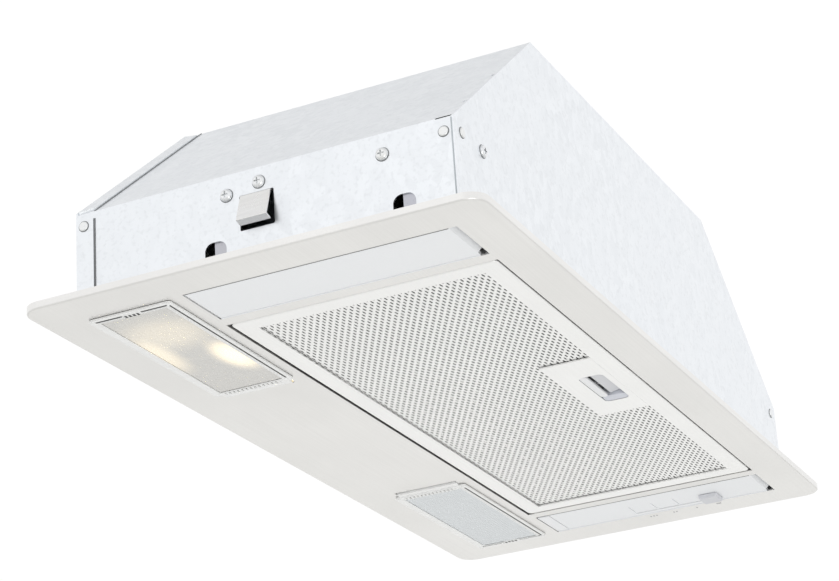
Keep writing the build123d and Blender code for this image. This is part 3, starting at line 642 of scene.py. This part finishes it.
def paint_lamp_glow(frost, hue, painted_glow_spots):
    """Paints the bulb's light onto the frost as emission, a painted glow: each spot has a place, radii and a
    strength.
    """
    total = None
    for place, radii, strength in painted_glow_spots:
        shift = frost.add("Mapping")
        shift.vector_type = "TEXTURE"
        shift.inputs["Location"].default_value = place
        shift.inputs["Scale"].default_value = radii
        frost.link(frost.place, shift.inputs["Vector"])
        away = frost.add("VectorMath")
        away.operation = "LENGTH"
        frost.link(shift.outputs["Vector"], away.inputs[0])
        spot = frost.remap(away.outputs["Value"], strength, 0.0, start=0.1, end=1.0, blend="SMOOTHERSTEP")
        if total:
            both = frost.add("Math")
            frost.link(total, both.inputs[0])
            frost.link(spot, both.inputs[1])
            spot = both.outputs[0]
        total = spot
    frost.link(total, frost.shader.inputs["Emission Strength"])
    frost.shader.inputs["Emission Color"].default_value = (*hue, 1)


class HOOD_OT_lamps(bpy.types.Operator):
    """Build the lamp lenses and the bulbs"""

    bl_idname = "hood.lamps"
    bl_label = "Build lamps"

    def execute(self, context):
        clear = clear_plastic()
        # dark finish for the painted shade in the rim grooves and for the catch's teeth
        dark = Finish("lens_gap", (0.05, 0.05, 0.05), Roughness=0.6)
        dark.shade(dark.pattern("Noise", 300, Detail=2), 0.6)
        rib_shade = moulding("lens_rib_shade", (0.36, 0.36, 0.35), roughness=0.3)
        for hand, side in (("left", -1), ("right", 1)):
            lamp_lens(hand, side, clear, dark, rib_shade)
            lamp_bulb(hand, side)
        return {"FINISHED"}


CLEAR, DARK, FROST, RIB_SHADE = range(4)  # the finishes of a lens moulding, in their order


class LensBuild:
    """Builds the moulding of one lamp lens. side is -1 for the left lens and 1 for the right one."""

    def __init__(self, node, side):
        low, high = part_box(node)
        self.side = side
        self.inner, self.tip = (low.x, high.x) if side > 0 else (high.x, low.x)
        self.hinge = self.inner + side * 5.2 * MM
        self.front, self.rear = low.y, high.y
        self.middle = ((low + high) / 2).y
        self.base, self.top, self.roof = low.z, low.z + 1.1 * MM, high.z
        self.sizes = settings().lamp_lens
        self.bm = bmesh.new()

    def past_inner(self, mm):
        return self.inner + self.side * mm * MM

    def past_hinge(self, mm):
        return self.hinge + self.side * mm * MM

    def before_tip(self, mm):
        return self.tip - self.side * mm * MM

    def width(self, inset):
        return self.front + inset, self.rear - inset

    def bar(self, x0, x1, y0, y1, z0, z1, bevel=0.3 * MM, finish=CLEAR):
        slab(self.bm, (min(x0, x1), y0, z0), (max(x0, x1), y1, z1), bevel, finish)

    def rim(self):
        """Flat rim with grooves along the front edge and the outer end, each filled with a dark bar as
        painted shade, and the tongue to the hinge.
        """
        border = self.sizes.border
        self.optic = (self.hinge + self.side * border, self.tip - self.side * border, *self.width(border))
        outline = rounded_rectangle(self.hinge, self.front, self.tip, self.rear, 2 * MM)
        window = rounded_rectangle(*self.optic[::2], *self.optic[1::2], 0.6 * MM, 2)
        outer, inner = self.before_tip(2.2), self.before_tip(3.6)
        catch_space = 5.4 * MM
        grooves = (
            (self.past_hinge(5), self.front + 1.8 * MM, outer, self.front + 2.8 * MM),
            (outer, self.front + 3.4 * MM, inner, self.middle - catch_space),
            (outer, self.middle + catch_space, inner, self.rear - 3.0 * MM),
        )
        cuts = [rounded_rectangle(*groove, 0.3 * MM, 2) for groove in grooves]
        cut_sheet(self.bm, (outline, window, *cuts), self.base, self.top, 0.12 * MM)
        # dark bars in the grooves: painted shade
        for x0, y0, x1, y1 in grooves:
            self.bar(x0, x1, y0, y1, self.base + 0.06 * MM, self.top, 0, DARK)
        self.bar(self.past_inner(0.5), self.past_hinge(1.5), *self.width(3.7 * MM),
                 self.base + 0.4 * MM, self.top, 0.25 * MM)

    def raised_bead(self):
        """Bead round the optic."""
        width, low, round_off = 0.7 * MM, self.base - 0.3 * MM, 0.2 * MM
        x0, x1, y0, y1 = self.optic
        for y in (y0 - width, y1):
            self.bar(x0 - self.side * width, x1 + self.side * width, y, y + width, low, self.top, round_off)
        for x in (x0 - self.side * width, x1):
            self.bar(x, x + self.side * width, y0, y1, low, self.top, round_off)

    def skirt(self):
        """Walls that enter the window, along the inner end and both sides."""
        inset, wall, depth = 4.0 * MM, 1.2 * MM, 2.5 * MM
        self.bar(self.past_inner(0.2), self.past_inner(1.4), *self.width(inset),
                 self.top - 0.1 * MM, self.top + depth)
        for y in (self.front + inset, self.rear - inset - wall):
            self.bar(self.past_inner(0.3), self.before_tip(5.2), y, y + wall,
                     self.top, self.top + depth, 0.2 * MM)

    def grip_ribs(self):
        """Ribs on a raised bar along the hinge end, with a shade line beside each."""
        start, end = self.width(7 * MM)
        overhang = 1.2 * MM
        self.bar(self.past_hinge(0.5), self.past_hinge(4.4), start - overhang, end + overhang,
                 self.base - 0.25 * MM, self.base + 0.3 * MM, 0.2 * MM)
        pitch = (end - start) / self.sizes.rib_count
        x0, x1 = self.past_hinge(1.0), self.past_hinge(3.9)
        for rib in range(self.sizes.rib_count):
            y = start + (rib + 0.5) * pitch
            self.bar(x0, x1, y - 0.34 * pitch, y + 0.2 * pitch,
                     self.base - 0.7 * MM, self.base, 0.18 * MM)
            self.bar(x0, x1, y + 0.28 * pitch, y + 0.56 * pitch,
                     self.base - 0.3 * MM, self.base, 0, RIB_SHADE)

    def catch(self):
        """Snap catch at the outer end, with four dark teeth."""
        half_width, tooth_pitch, half_tooth = 4.5 * MM, 2.3 * MM, 0.65 * MM
        self.bar(self.before_tip(5.0), self.before_tip(2.4),
                 self.middle - half_width, self.middle + half_width,
                 self.base - 0.35 * MM, self.top + 1.6 * MM, 0.25 * MM)
        for tooth in range(4):
            y = self.middle + (tooth - 1.5) * tooth_pitch
            self.bar(self.before_tip(4.8), self.before_tip(2.5), y - half_tooth, y + half_tooth,
                     self.base - 0.42 * MM, self.base + 0.1 * MM, 0, DARK)

    def corner_nubs(self):
        nub = in_mm((-0.4, 0.0), (-0.4, 0.8), (-0.2, 1.1), (0.3, 1.2), (0.3, 0.0))
        for x in (self.past_hinge(2.0), self.before_tip(2.0)):
            for y in self.width(2.0 * MM):
                tube_profile(self.bm, nub, (x, y, self.base), (0, 0, 1), 16)

    def hinge_pins(self):
        """A stepped pin towards the front and one towards the rear, each on an ear."""
        pin = in_mm((0.0, 0.0), (0.0, 2.0), (2.2, 2.0), (2.2, 1.1), (5.0, 1.1), (5.0, 0.0))
        x, z = self.past_inner(2.6), self.roof - 2.0 * MM
        half_ear = 1.4 * MM
        for end in (-1, 1):
            y = self.middle + end * 18.0 * MM
            tube_profile(self.bm, pin, (x, y, z), (0, end, 0), 20)
            ear = sorted((y, y + end * 2.2 * MM))
            self.bar(x - half_ear, x + half_ear, *ear, self.top - 0.2 * MM, z, 0.2 * MM)


def lamp_lens(hand, side, clear, dark, rib_shade):
    name = "lamp_lens_" + hand
    lens = LensBuild(name, side)
    # both lenses are one plastic: the warmer tint of the lit left lens is painted lamplight
    tint = (0.765, 0.755, 0.735) if side < 0 else (0.79, 0.82, 0.845)
    frost = frosted_plastic("frosted_optic_" + hand, tint)
    if side < 0:
        # painted glow of the bulb, its painted reflection in the pan and the wide painted glow of both:
        # centre, radii, strength
        painted_glow_spots = (
            ((lens.tip + 80 * MM, lens.front + 9 * MM, lens.base), (31 * MM, 14 * MM, 1), 0.66),
            ((lens.tip + 62 * MM, lens.rear - 5 * MM, lens.base), (38 * MM, 14 * MM, 1), 0.32),
            ((lens.tip + 36 * MM, lens.middle, lens.base), (32 * MM, 36 * MM, 1), 0.17),
        )
        paint_lamp_glow(frost, settings().finishes.glow, painted_glow_spots)
    lens.rim()
    lens.raised_bead()
    prism_field(lens.bm, lens.optic, lens.base + 0.1 * MM, lens.top + 0.4 * MM, lens.sizes)
    lens.skirt()
    lens.grip_ribs()
    lens.catch()
    lens.corner_nubs()
    lens.hinge_pins()
    piece = finish_piece(name + "_moulding", lens.bm, "lens_" + hand, [clear, dark, frost, rib_shade])
    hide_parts(name)


def prism_field(bm, optic, low, high, sizes):
    """A plate with small pyramids all over its lower face."""
    x0, x1 = sorted(optic[:2])
    y0, y1 = optic[2:]
    columns = max(2, round((x1 - x0) / sizes.prism_pitch))
    rows = max(2, round((y1 - y0) / sizes.prism_pitch))
    step_x, step_y = (x1 - x0) / columns, (y1 - y0) / rows
    base = low + sizes.prism_height
    grid = [
        [bm.verts.new((x0 + column * step_x, y0 + row * step_y, base)) for column in range(columns + 1)]
        for row in range(rows + 1)
    ]
    for row, (near, far) in enumerate(zip(grid, grid[1:])):
        for column in range(columns):
            peak = bm.verts.new((x0 + (column + 0.5) * step_x, y0 + (row + 0.5) * step_y, low))
            ring = (near[column], near[column + 1], far[column + 1], far[column])
            for k in range(4):
                bm.faces.new((ring[k], ring[(k + 1) % 4], peak)).material_index = FROST
    roof = [bm.verts.new((x, y, high)) for x, y in ((x0, y0), (x1, y0), (x1, y1), (x0, y1))]
    bm.faces.new(roof[::-1]).material_index = FROST
    edges = (grid[0], [line[-1] for line in grid], grid[-1][::-1], [line[0] for line in grid[::-1]])
    for k, line in enumerate(edges):
        bm.faces.new([roof[k], *line, roof[(k + 1) % 4]]).material_index = FROST


def lamp_bulb(hand, side):
    name = "bulb_" + hand
    low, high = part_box(name)
    centre = Vector(((high.x if side > 0 else low.x), (low.y + high.y) / 2, (low.z + high.z) / 2))
    radius = (high.z - low.z) / 2
    whole = high.x - low.x
    neck = (23 * MM, 6.4 * MM)
    # screw cap: three points to a turn of the thread
    cap_profile = in_mm((0.0, 0.0), (0.0, 2.6), (1.2, 4.5))
    cap_profile += in_mm(
        *((1.5 + ring * 1.1, 6.3 + 0.45 * math.sin(ring * math.pi * 0.66)) for ring in range(18))
    )
    glass = [neck, *in_mm((26, 8.4), (30, 11.4)), (34 * MM, radius * 0.99)]
    straight = whole - radius
    glass += [(straight * share, radius) for share in (0.5, 0.75, 1.0)]
    for step in range(1, 8):
        turn = step * math.pi / 14
        glass.append((straight + radius * math.sin(turn) * 0.98, radius * math.cos(turn)))
    glass.append((whole * 0.999, 0.0))
    envelope = Finish(
        "bulb_glass_" + hand, (0.95, 0.93, 0.88), Roughness=0.25, IOR=1.5, Transmission_Weight=0.3
    )
    pearl = envelope.pattern("Noise", 120, Detail=3)
    envelope.shade(pearl, 0.93)
    envelope.gloss(pearl, 0.2, 0.34)
    if side < 0:
        envelope.set(Emission_Color=(*settings().finishes.glow, 1), Emission_Strength=5.0)
    cap = plated_zinc("bulb_cap_" + hand, (0.72, 0.70, 0.64))
    bm = bmesh.new()
    tube_profile(bm, [*cap_profile, neck], centre, (-side, 0, 0), 36, finish=1)
    tube_profile(bm, glass, centre, (-side, 0, 0), 36)
    bmesh.ops.remove_doubles(bm, verts=bm.verts, dist=1e-6)
    piece = finish_piece(name + "_glass", bm, "housing", [envelope, cap], smooth=True)
    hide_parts(name)


# ---- filter latch ----
class HOOD_OT_latch(bpy.types.Operator):
    """Build the pressed latch plate with its cup, and the lever with its finger scoop"""

    bl_idname = "hood.latch"
    bl_label = "Build latch"

    def execute(self, context):
        tints = settings().finishes
        bright = rolled_aluminium("plate_aluminium", tints.aluminium, roughness=0.36)
        lip = moulding("latch_lip_moulding", (0.86, 0.87, 0.89), roughness=0.3)
        # dark grey for the cup: painted shade in the gap round the lever
        cup = moulding("latch_cup_painted_shade", (0.34, 0.35, 0.37), roughness=0.4)
        grey = moulding("lever_moulding", (0.68, 0.69, 0.72), roughness=0.34)
        latch_plate(bright, lip, cup)
        latch_lever(grey)
        latch_block(moulding("latch_end_moulding", tints.latch, roughness=0.42))
        return {"FINISHED"}


LEVER_END = 8.2 * MM  # from the end block's far side back to the lever's end


def latch_plate(bright, lip, cup):
    """Pressed plate, the cup behind its opening, drawn dark grey as painted shade, and the soft white bead
    along the cup's rear side.
    """
    low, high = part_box("latch_plate")
    lever_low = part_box("latch_lever")[0]
    block_low, block_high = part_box("latch_block")
    skin, clearance = 0.9 * MM, 1.1 * MM
    left, right = lever_low.x - 1.0 * MM, block_high.x + 0.7 * MM
    front, rear = block_low.y - clearance, block_high.y + clearance
    bm = bmesh.new()
    edge = rounded_rectangle(low.x, low.y, high.x, high.y, 0.5 * MM, 2)
    opening = rounded_rectangle(left, front, right, rear, 3.2 * MM, 6)
    cut_sheet(bm, (edge, opening), low.z + 0.02 * MM, low.z + skin, 0.15 * MM)
    # the cup's wall and floor take the dark grey finish: painted shade
    shallow_cup(bm, opening, low.z + 0.2 * MM, high.z - 0.3 * MM, 2)
    bead = rounded_rectangle(
        left + 0.4 * MM, rear - 4.6 * MM, right - LEVER_END, rear - 0.3 * MM, 2.1 * MM, 6
    )
    cut_sheet(bm, (bead,), low.z + 0.03 * MM, lever_low.z + 0.1 * MM, 0.25 * MM, 1)
    piece = finish_piece("latch_plate_pressing", bm, "filter", [bright, lip, cup])
    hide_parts("latch_plate")


def latch_lever(grey):
    """A hollow scoop for the fingertip that shallows towards the bead, its bolt and its spring pin."""
    low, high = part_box("latch_lever")
    block_low, block_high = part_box("latch_block")
    spring_low, spring_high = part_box("latch_spring")
    front, rear = block_low.y - 0.5 * MM, high.y - 1.6 * MM
    edge, deep = low.z + 0.25 * MM, high.z - 2.4 * MM
    profile = [(front, edge), (front + 0.5 * MM, edge + 0.1 * MM), (front + 1.2 * MM, deep - 0.3 * MM)]
    slope_front, steps = front + 1.8 * MM, 12
    for step in range(steps + 1):
        share = step / steps
        profile.append((slope_front + (rear - slope_front) * share, deep + (edge - deep) * share ** 1.5))
    profile += [(rear, high.z), (front, high.z)]
    bm = bmesh.new()
    tips = (low.x + 0.2 * MM, block_high.x - LEVER_END)
    ends = [[bm.verts.new((x, y, z)) for y, z in profile] for x in tips]
    band(bm, *ends)
    for ring in (ends[0][::-1], ends[1]):
        bm.faces.new(ring)
    middle_x, axis_z = (spring_low.x + spring_high.x) / 2, (spring_low.z + spring_high.z) / 2
    half_bolt = 5 * MM
    slab(bm, (middle_x - half_bolt, low.y, high.z - 2.0 * MM),
         (middle_x + half_bolt, front + 1 * MM, high.z - 0.4 * MM), 0.3 * MM)
    pin = in_mm((0.0, 0.0), (0.0, 0.7), (3.7, 0.7), (3.9, 0.5), (3.9, 0.0))
    tube_profile(bm, pin, (middle_x, rear - 1 * MM, axis_z), (0, 1, 0), 16)
    piece = finish_piece("latch_lever_moulding", bm, "latch", [grey])
    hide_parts("latch_lever")
    latch_spring((middle_x, spring_high.y, axis_z))


def latch_spring(rear_end):
    """Four ribbed turns at the pressed length, so that the lever's pin always fits inside."""
    pressed, seat, turns, steps = 2.7, 2.9, 4, 48
    radius, wire, bore = 1.3, 0.2, 1.0
    coil = [(step / steps * pressed, radius + wire * math.cos(step / steps * 2 * math.pi * turns))
            for step in range(steps + 1)]
    x, y, z = rear_end
    bm = bmesh.new()
    profile = in_mm(*coil, (pressed, bore), (0.0, bore), coil[0])
    tube_profile(bm, profile, (x, y - seat * MM, z), (0, 1, 0), 24)
    bmesh.ops.remove_doubles(bm, verts=bm.verts, dist=WELD)
    finish = plated_zinc("spring_wire", settings().finishes.zinc)
    piece = finish_piece("latch_spring_coil", bm, "filter", [finish], smooth=True)
    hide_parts("latch_spring")


def latch_block(lavender):
    low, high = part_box("latch_block")
    bm = bmesh.new()
    overlap = 0.9 * MM
    face = rounded_rectangle(
        high.x - 7.4 * MM, low.y - overlap, high.x + 0.55 * MM, high.y + overlap, 2.6 * MM
    )
    cut_sheet(bm, (face,), low.z - 1.3 * MM, high.z, 0.3 * MM)
    piece = finish_piece("latch_block_moulding", bm, "filter", [lavender])
    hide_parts("latch_block")


# ---- seams and fasteners ----
def loose_parts(node):
    """Boxes of the separate bodies in a node's mesh."""
    solid = frame["nodes"][node]
    bm = bmesh.new()
    bm.from_mesh(solid.data)
    bm.transform(solid.matrix_world)
    bmesh.ops.remove_doubles(bm, verts=bm.verts, dist=1e-6)
    left, boxes = dict.fromkeys(bm.verts), []
    while left:
        group, edge = set(), [left.popitem()[0]]
        while edge:
            vert = edge.pop()
            group.add(vert)
            for link in vert.link_edges:
                other = link.other_vert(vert)
                if other in left:
                    del left[other]
                    edge.append(other)
        spans = list(zip(*(vert.co for vert in group)))
        boxes.append([Vector([pick(span) for span in spans]) for pick in (min, max)])
    bm.free()
    return boxes


def painted_seam_shade(shadow, soft_shadow):
    """Painted shade: thin dark strips beside the rear panel's tabs, and one along each front corner."""
    places = points_of("housing_shell")
    low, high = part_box("housing_shell")
    knee = max(place.z for place in places if place.x > high.x - 0.1 * MM)
    top = max(place.x for place in places if place.z > high.z - 0.1 * MM)
    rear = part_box("rear_panel")[0].y
    out, width, corner_width = 0.3 * MM, 0.7 * MM, 0.5 * MM
    rise = Vector((top - high.x, 0, high.z - knee)).normalized()
    outward = Vector((rise.z, 0, -rise.x)) * out
    bm = bmesh.new()
    for side in (-1, 1):
        near_x, far_x = sorted((side * high.x, side * (high.x + out)))
        # painted shadow beside the rear tab's edge, carried up the slope by the band below
        slab(bm, (near_x, rear - width, low.z + 4 * MM), (far_x, rear, knee - 4 * MM))
        # painted soft shade along the front corner
        slab(bm, (near_x, low.y - 0.05 * MM, low.z + 1 * MM), (far_x, low.y + corner_width, knee - 1 * MM),
             finish=1)
        corners = [(high.x, knee), (high.x + outward.x, knee + outward.z),
                   (top + outward.x, high.z + outward.z), (top, high.z)]
        rings = [[bm.verts.new((side * x, y, z)) for x, z in corners] for y in (rear, rear - width)]
        band(bm, *rings)
        for ring in rings:
            bm.faces.new(ring)
    finish_piece("painted_seam_shade", bm, "housing", [shadow, soft_shadow])


def strip_edges(shadow, filler):
    """A dark line painted as shadow in the gap left of each strip's face, and a filler in the gap right of
    it.
    """
    bm = bmesh.new()
    for node in ("blank_strip", "control_strip"):
        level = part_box(node)[0].z
        face = [place for place in points_of(node) if place.z < level + 0.05 * MM]
        x0, x1 = min(place.x for place in face), max(place.x for place in face)
        y0, y1 = min(place.y for place in face), max(place.y for place in face)
        # painted shadow line
        slab(bm, (x0 - 0.65 * MM, y0, -0.08 * MM), (x0 - 0.05 * MM, y1, level - 0.05 * MM))
        slab(bm, (x1 + 0.04 * MM, y0, 0.0), (x1 + 0.66 * MM, y1, level), finish=1)
    finish_piece("strip_edges", bm, "housing", [shadow, filler])


def painted_head_shade_rings(shadow):
    """A thin dark ring under each head, painted shade round the head's rim. The heights are those of heads
    on the end walls and on the front.
    """
    wall_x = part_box("housing_shell")[1].x
    inside, outside, thick, sunk = 0.1 * MM, 0.35 * MM, 0.2 * MM, 0.15
    bm = bmesh.new()
    for node, head_heights in (("panel_rivets", (0.9, 0.9)), ("pan_screws", (2.1, 1.6))):
        for part_low, part_high in loose_parts(node):
            centre = (part_low + part_high) / 2
            along = 0 if max(-part_low.x, part_high.x) > wall_x + 0.1 * MM else 1
            sign = 1 if centre[along] > 0 else -1
            face = (part_high if sign > 0 else part_low)[along]
            centre[along] = face - sign * (head_heights[along] - sunk) * MM
            axis = Vector((sign, 0, 0)) if along == 0 else Vector((0, sign, 0))
            radius = (part_high.z - part_low.z) / 2
            # painted shade ring round the head
            shade_ring = [(0.0, radius - inside), (0.0, radius + outside), (-thick, radius + outside),
                      (-thick, radius - inside), (0.0, radius - inside)]
            tube_profile(bm, shade_ring, centre, axis, 28)
    bmesh.ops.remove_doubles(bm, verts=bm.verts, dist=WELD)
    finish_piece("painted_head_shade_rings", bm, "housing", [shadow])


class HOOD_OT_painted_shade_lines(bpy.types.Operator):
    """Add painted shade: lines at the panels' seams, a line and a filler at each strip's edges and rings
    under the heads
    """

    bl_idname = "hood.seams"
    # the seams and washers of the label are painted shade lines and rings
    bl_label = "Add seams and washers"

    def execute(self, context):
        shadow = moulding("seam_shadow", (0.2, 0.205, 0.21), roughness=0.5)
        soft_shadow = moulding("corner_shadow", (0.48, 0.52, 0.55), roughness=0.5)
        painted_seam_shade(shadow, soft_shadow)
        filler = moulding("strip_edge_moulding", settings().finishes.strip, roughness=0.38)
        strip_edges(shadow, filler)
        painted_head_shade_rings(shadow)
        return {"FINISHED"}


# ---- position marks ----
STOPS, STOP_PITCH = 4, 14.7 * MM
MARKS_X = 245.2 * MM  # beside the slider's slot
DOT_PITCH = 2.0 * MM


class HOOD_OT_marks(bpy.types.Operator):
    """Add the plain raised dots that number the slider's stops"""

    bl_idname = "hood.marks"
    bl_label = "Add stop marks"

    def execute(self, context):
        knob_low, knob_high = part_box("fan_slider")
        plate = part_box("trim_plate")[0].z
        grey = moulding("mark_ink", (0.42, 0.42, 0.43), roughness=0.5)
        start = (knob_low.y + knob_high.y) / 2
        half_x, low, high = 0.9 * MM, plate - 0.06 * MM, plate + 0.02 * MM
        bm = bmesh.new()
        for stop in range(STOPS):
            y = start + stop * STOP_PITCH
            dots = max(1, stop)  # the first stop has one long mark, the others as many dots as their number
            half_y = 0.45 * MM if stop else 1.6 * MM
            for dot in range(dots):
                at = y + (dot - (dots - 1) / 2) * DOT_PITCH
                slab(bm, (MARKS_X - half_x, at - half_y, low), (MARKS_X + half_x, at + half_y, high),
                     0.02 * MM, segments=1)
        finish_piece("stop_marks", bm, "housing", [grey])
        return {"FINISHED"}


# ---- stage ----
def soft_light(name, location, size, power, tint):
    data = bpy.data.lights.new(name, "AREA")
    data.shape = "DISK"
    data.size = size
    data.energy = power
    data.color = tint
    lamp = new_object(name, data)
    lamp.location = location
    lamp.rotation_euler = (-Vector(location)).to_track_quat("-Z", "Y").to_euler()
    lamp.visible_camera = False


def pale_world():
    """White surroundings, dimmer overhead than at the sides."""
    world = bpy.data.worlds.new("pale studio")
    world.use_nodes = True
    nodes, links = world.node_tree.nodes, world.node_tree.links
    place = nodes.new("ShaderNodeTexCoord").outputs["Generated"]
    split = nodes.new("ShaderNodeSeparateXYZ")
    ramp = nodes.new("ShaderNodeMapRange")
    set_range(ramp, 0.52, 0.95, 1.02, 0.76)
    links.new(place, split.inputs[0])
    links.new(split.outputs["Z"], ramp.inputs["Value"])
    links.new(ramp.outputs["Result"], nodes["Background"].inputs["Strength"])
    nodes["Background"].inputs["Color"].default_value = (1, 1, 1, 1)
    bpy.context.scene.world = world


class HOOD_OT_stage(bpy.types.Operator):
    """Add the pale floor, the soft lights and the camera"""

    bl_idname = "hood.stage"
    bl_label = "Build the studio"

    def execute(self, context):
        studio = settings().studio
        data = bpy.data.cameras.new("camera")
        data.lens = studio.lens
        data.sensor_width = 36
        data.clip_end = 200
        camera = new_object("camera", data)
        level, heading = math.cos(studio.pitch), studio.heading
        ahead = Vector((level * math.cos(heading), level * math.sin(heading), math.sin(studio.pitch)))
        right = ahead.cross(Vector((0, 0, 1))).normalized()
        up = right.cross(ahead)
        turned_up = up * math.cos(studio.roll) + right * math.sin(studio.roll)
        turned_right = ahead.cross(turned_up)
        camera.matrix_world = Matrix.Translation(studio.eye) @ Matrix(
            (turned_right, turned_up, -ahead)
        ).transposed().to_4x4()
        context.scene.camera = camera

        bm = bmesh.new()
        bmesh.ops.create_grid(bm, x_segments=8, y_segments=8, size=30)
        bmesh.ops.translate(bm, verts=bm.verts, vec=(0, 0, -studio.floor_drop))
        ground = Finish("pale_floor", (0.90, 0.90, 0.885), Roughness=0.7)
        ground.shade(ground.pattern("Noise", 2, Detail=3), 0.98)
        floor = new_object("studio_floor", new_mesh("studio_floor", bm, [ground]))

        pale_world()
        soft_light("side_light", (-4.2, 0.8, 1.8), size=2.6, power=2, tint=(1, 1, 1))
        soft_light("low_light", (-2.6, -2.4, -2.2), size=2.4, power=25, tint=(1.0, 0.99, 0.97))
        soft_light("far_low_light", (4.0, 1.2, -1.9), size=4, power=5, tint=(1.0, 0.99, 0.975))
        context.scene.view_settings.view_transform = "Standard"
        return {"FINISHED"}


class HOOD_PT_sidebar(bpy.types.Panel):
    """Lists the hood's pieces and settings"""

    bl_label = "Range Hood"
    bl_idname = "HOOD_PT_sidebar"
    bl_space_type = "VIEW_3D"
    bl_region_type = "UI"
    bl_category = "Range Hood"

    def draw(self, context):
        for operator in OPERATORS:
            self.layout.operator(operator.bl_idname)
        for group in ("finishes", "filter", "lamp_lens", "studio"):
            box = self.layout.box()
            part = getattr(context.scene.hood, group)
            for key in part.__annotations__:
                box.prop(part, key)


OPERATORS = (
    HOOD_OT_sheet_metal,
    HOOD_OT_mouldings,
    HOOD_OT_blower,
    HOOD_OT_filter,
    HOOD_OT_lamps,
    HOOD_OT_latch,
    HOOD_OT_painted_shade_lines,
    HOOD_OT_marks,
    HOOD_OT_stage,
)
GROUPS = (HoodFinishes, HoodFilter, HoodLens, HoodStudio, HoodSettings)
CLASSES = (*GROUPS, *OPERATORS, HOOD_PT_sidebar)


def register():
    for item in CLASSES:
        bpy.utils.register_class(item)
    bpy.types.Scene.hood = bpy.props.PointerProperty(type=HoodSettings)


def unregister():
    del bpy.types.Scene.hood
    for item in reversed(CLASSES):
        bpy.utils.unregister_class(item)


def main():
    register()
    bpy.ops.hood.sheet_metal()
    bpy.ops.hood.mouldings()
    bpy.ops.hood.blower()
    bpy.ops.hood.filter()
    bpy.ops.hood.lamps()
    bpy.ops.hood.latch()
    bpy.ops.hood.seams()
    bpy.ops.hood.marks()
    bpy.ops.hood.stage()
    bpy.context.view_layer.update()


if __name__ == "__main__":
    main()
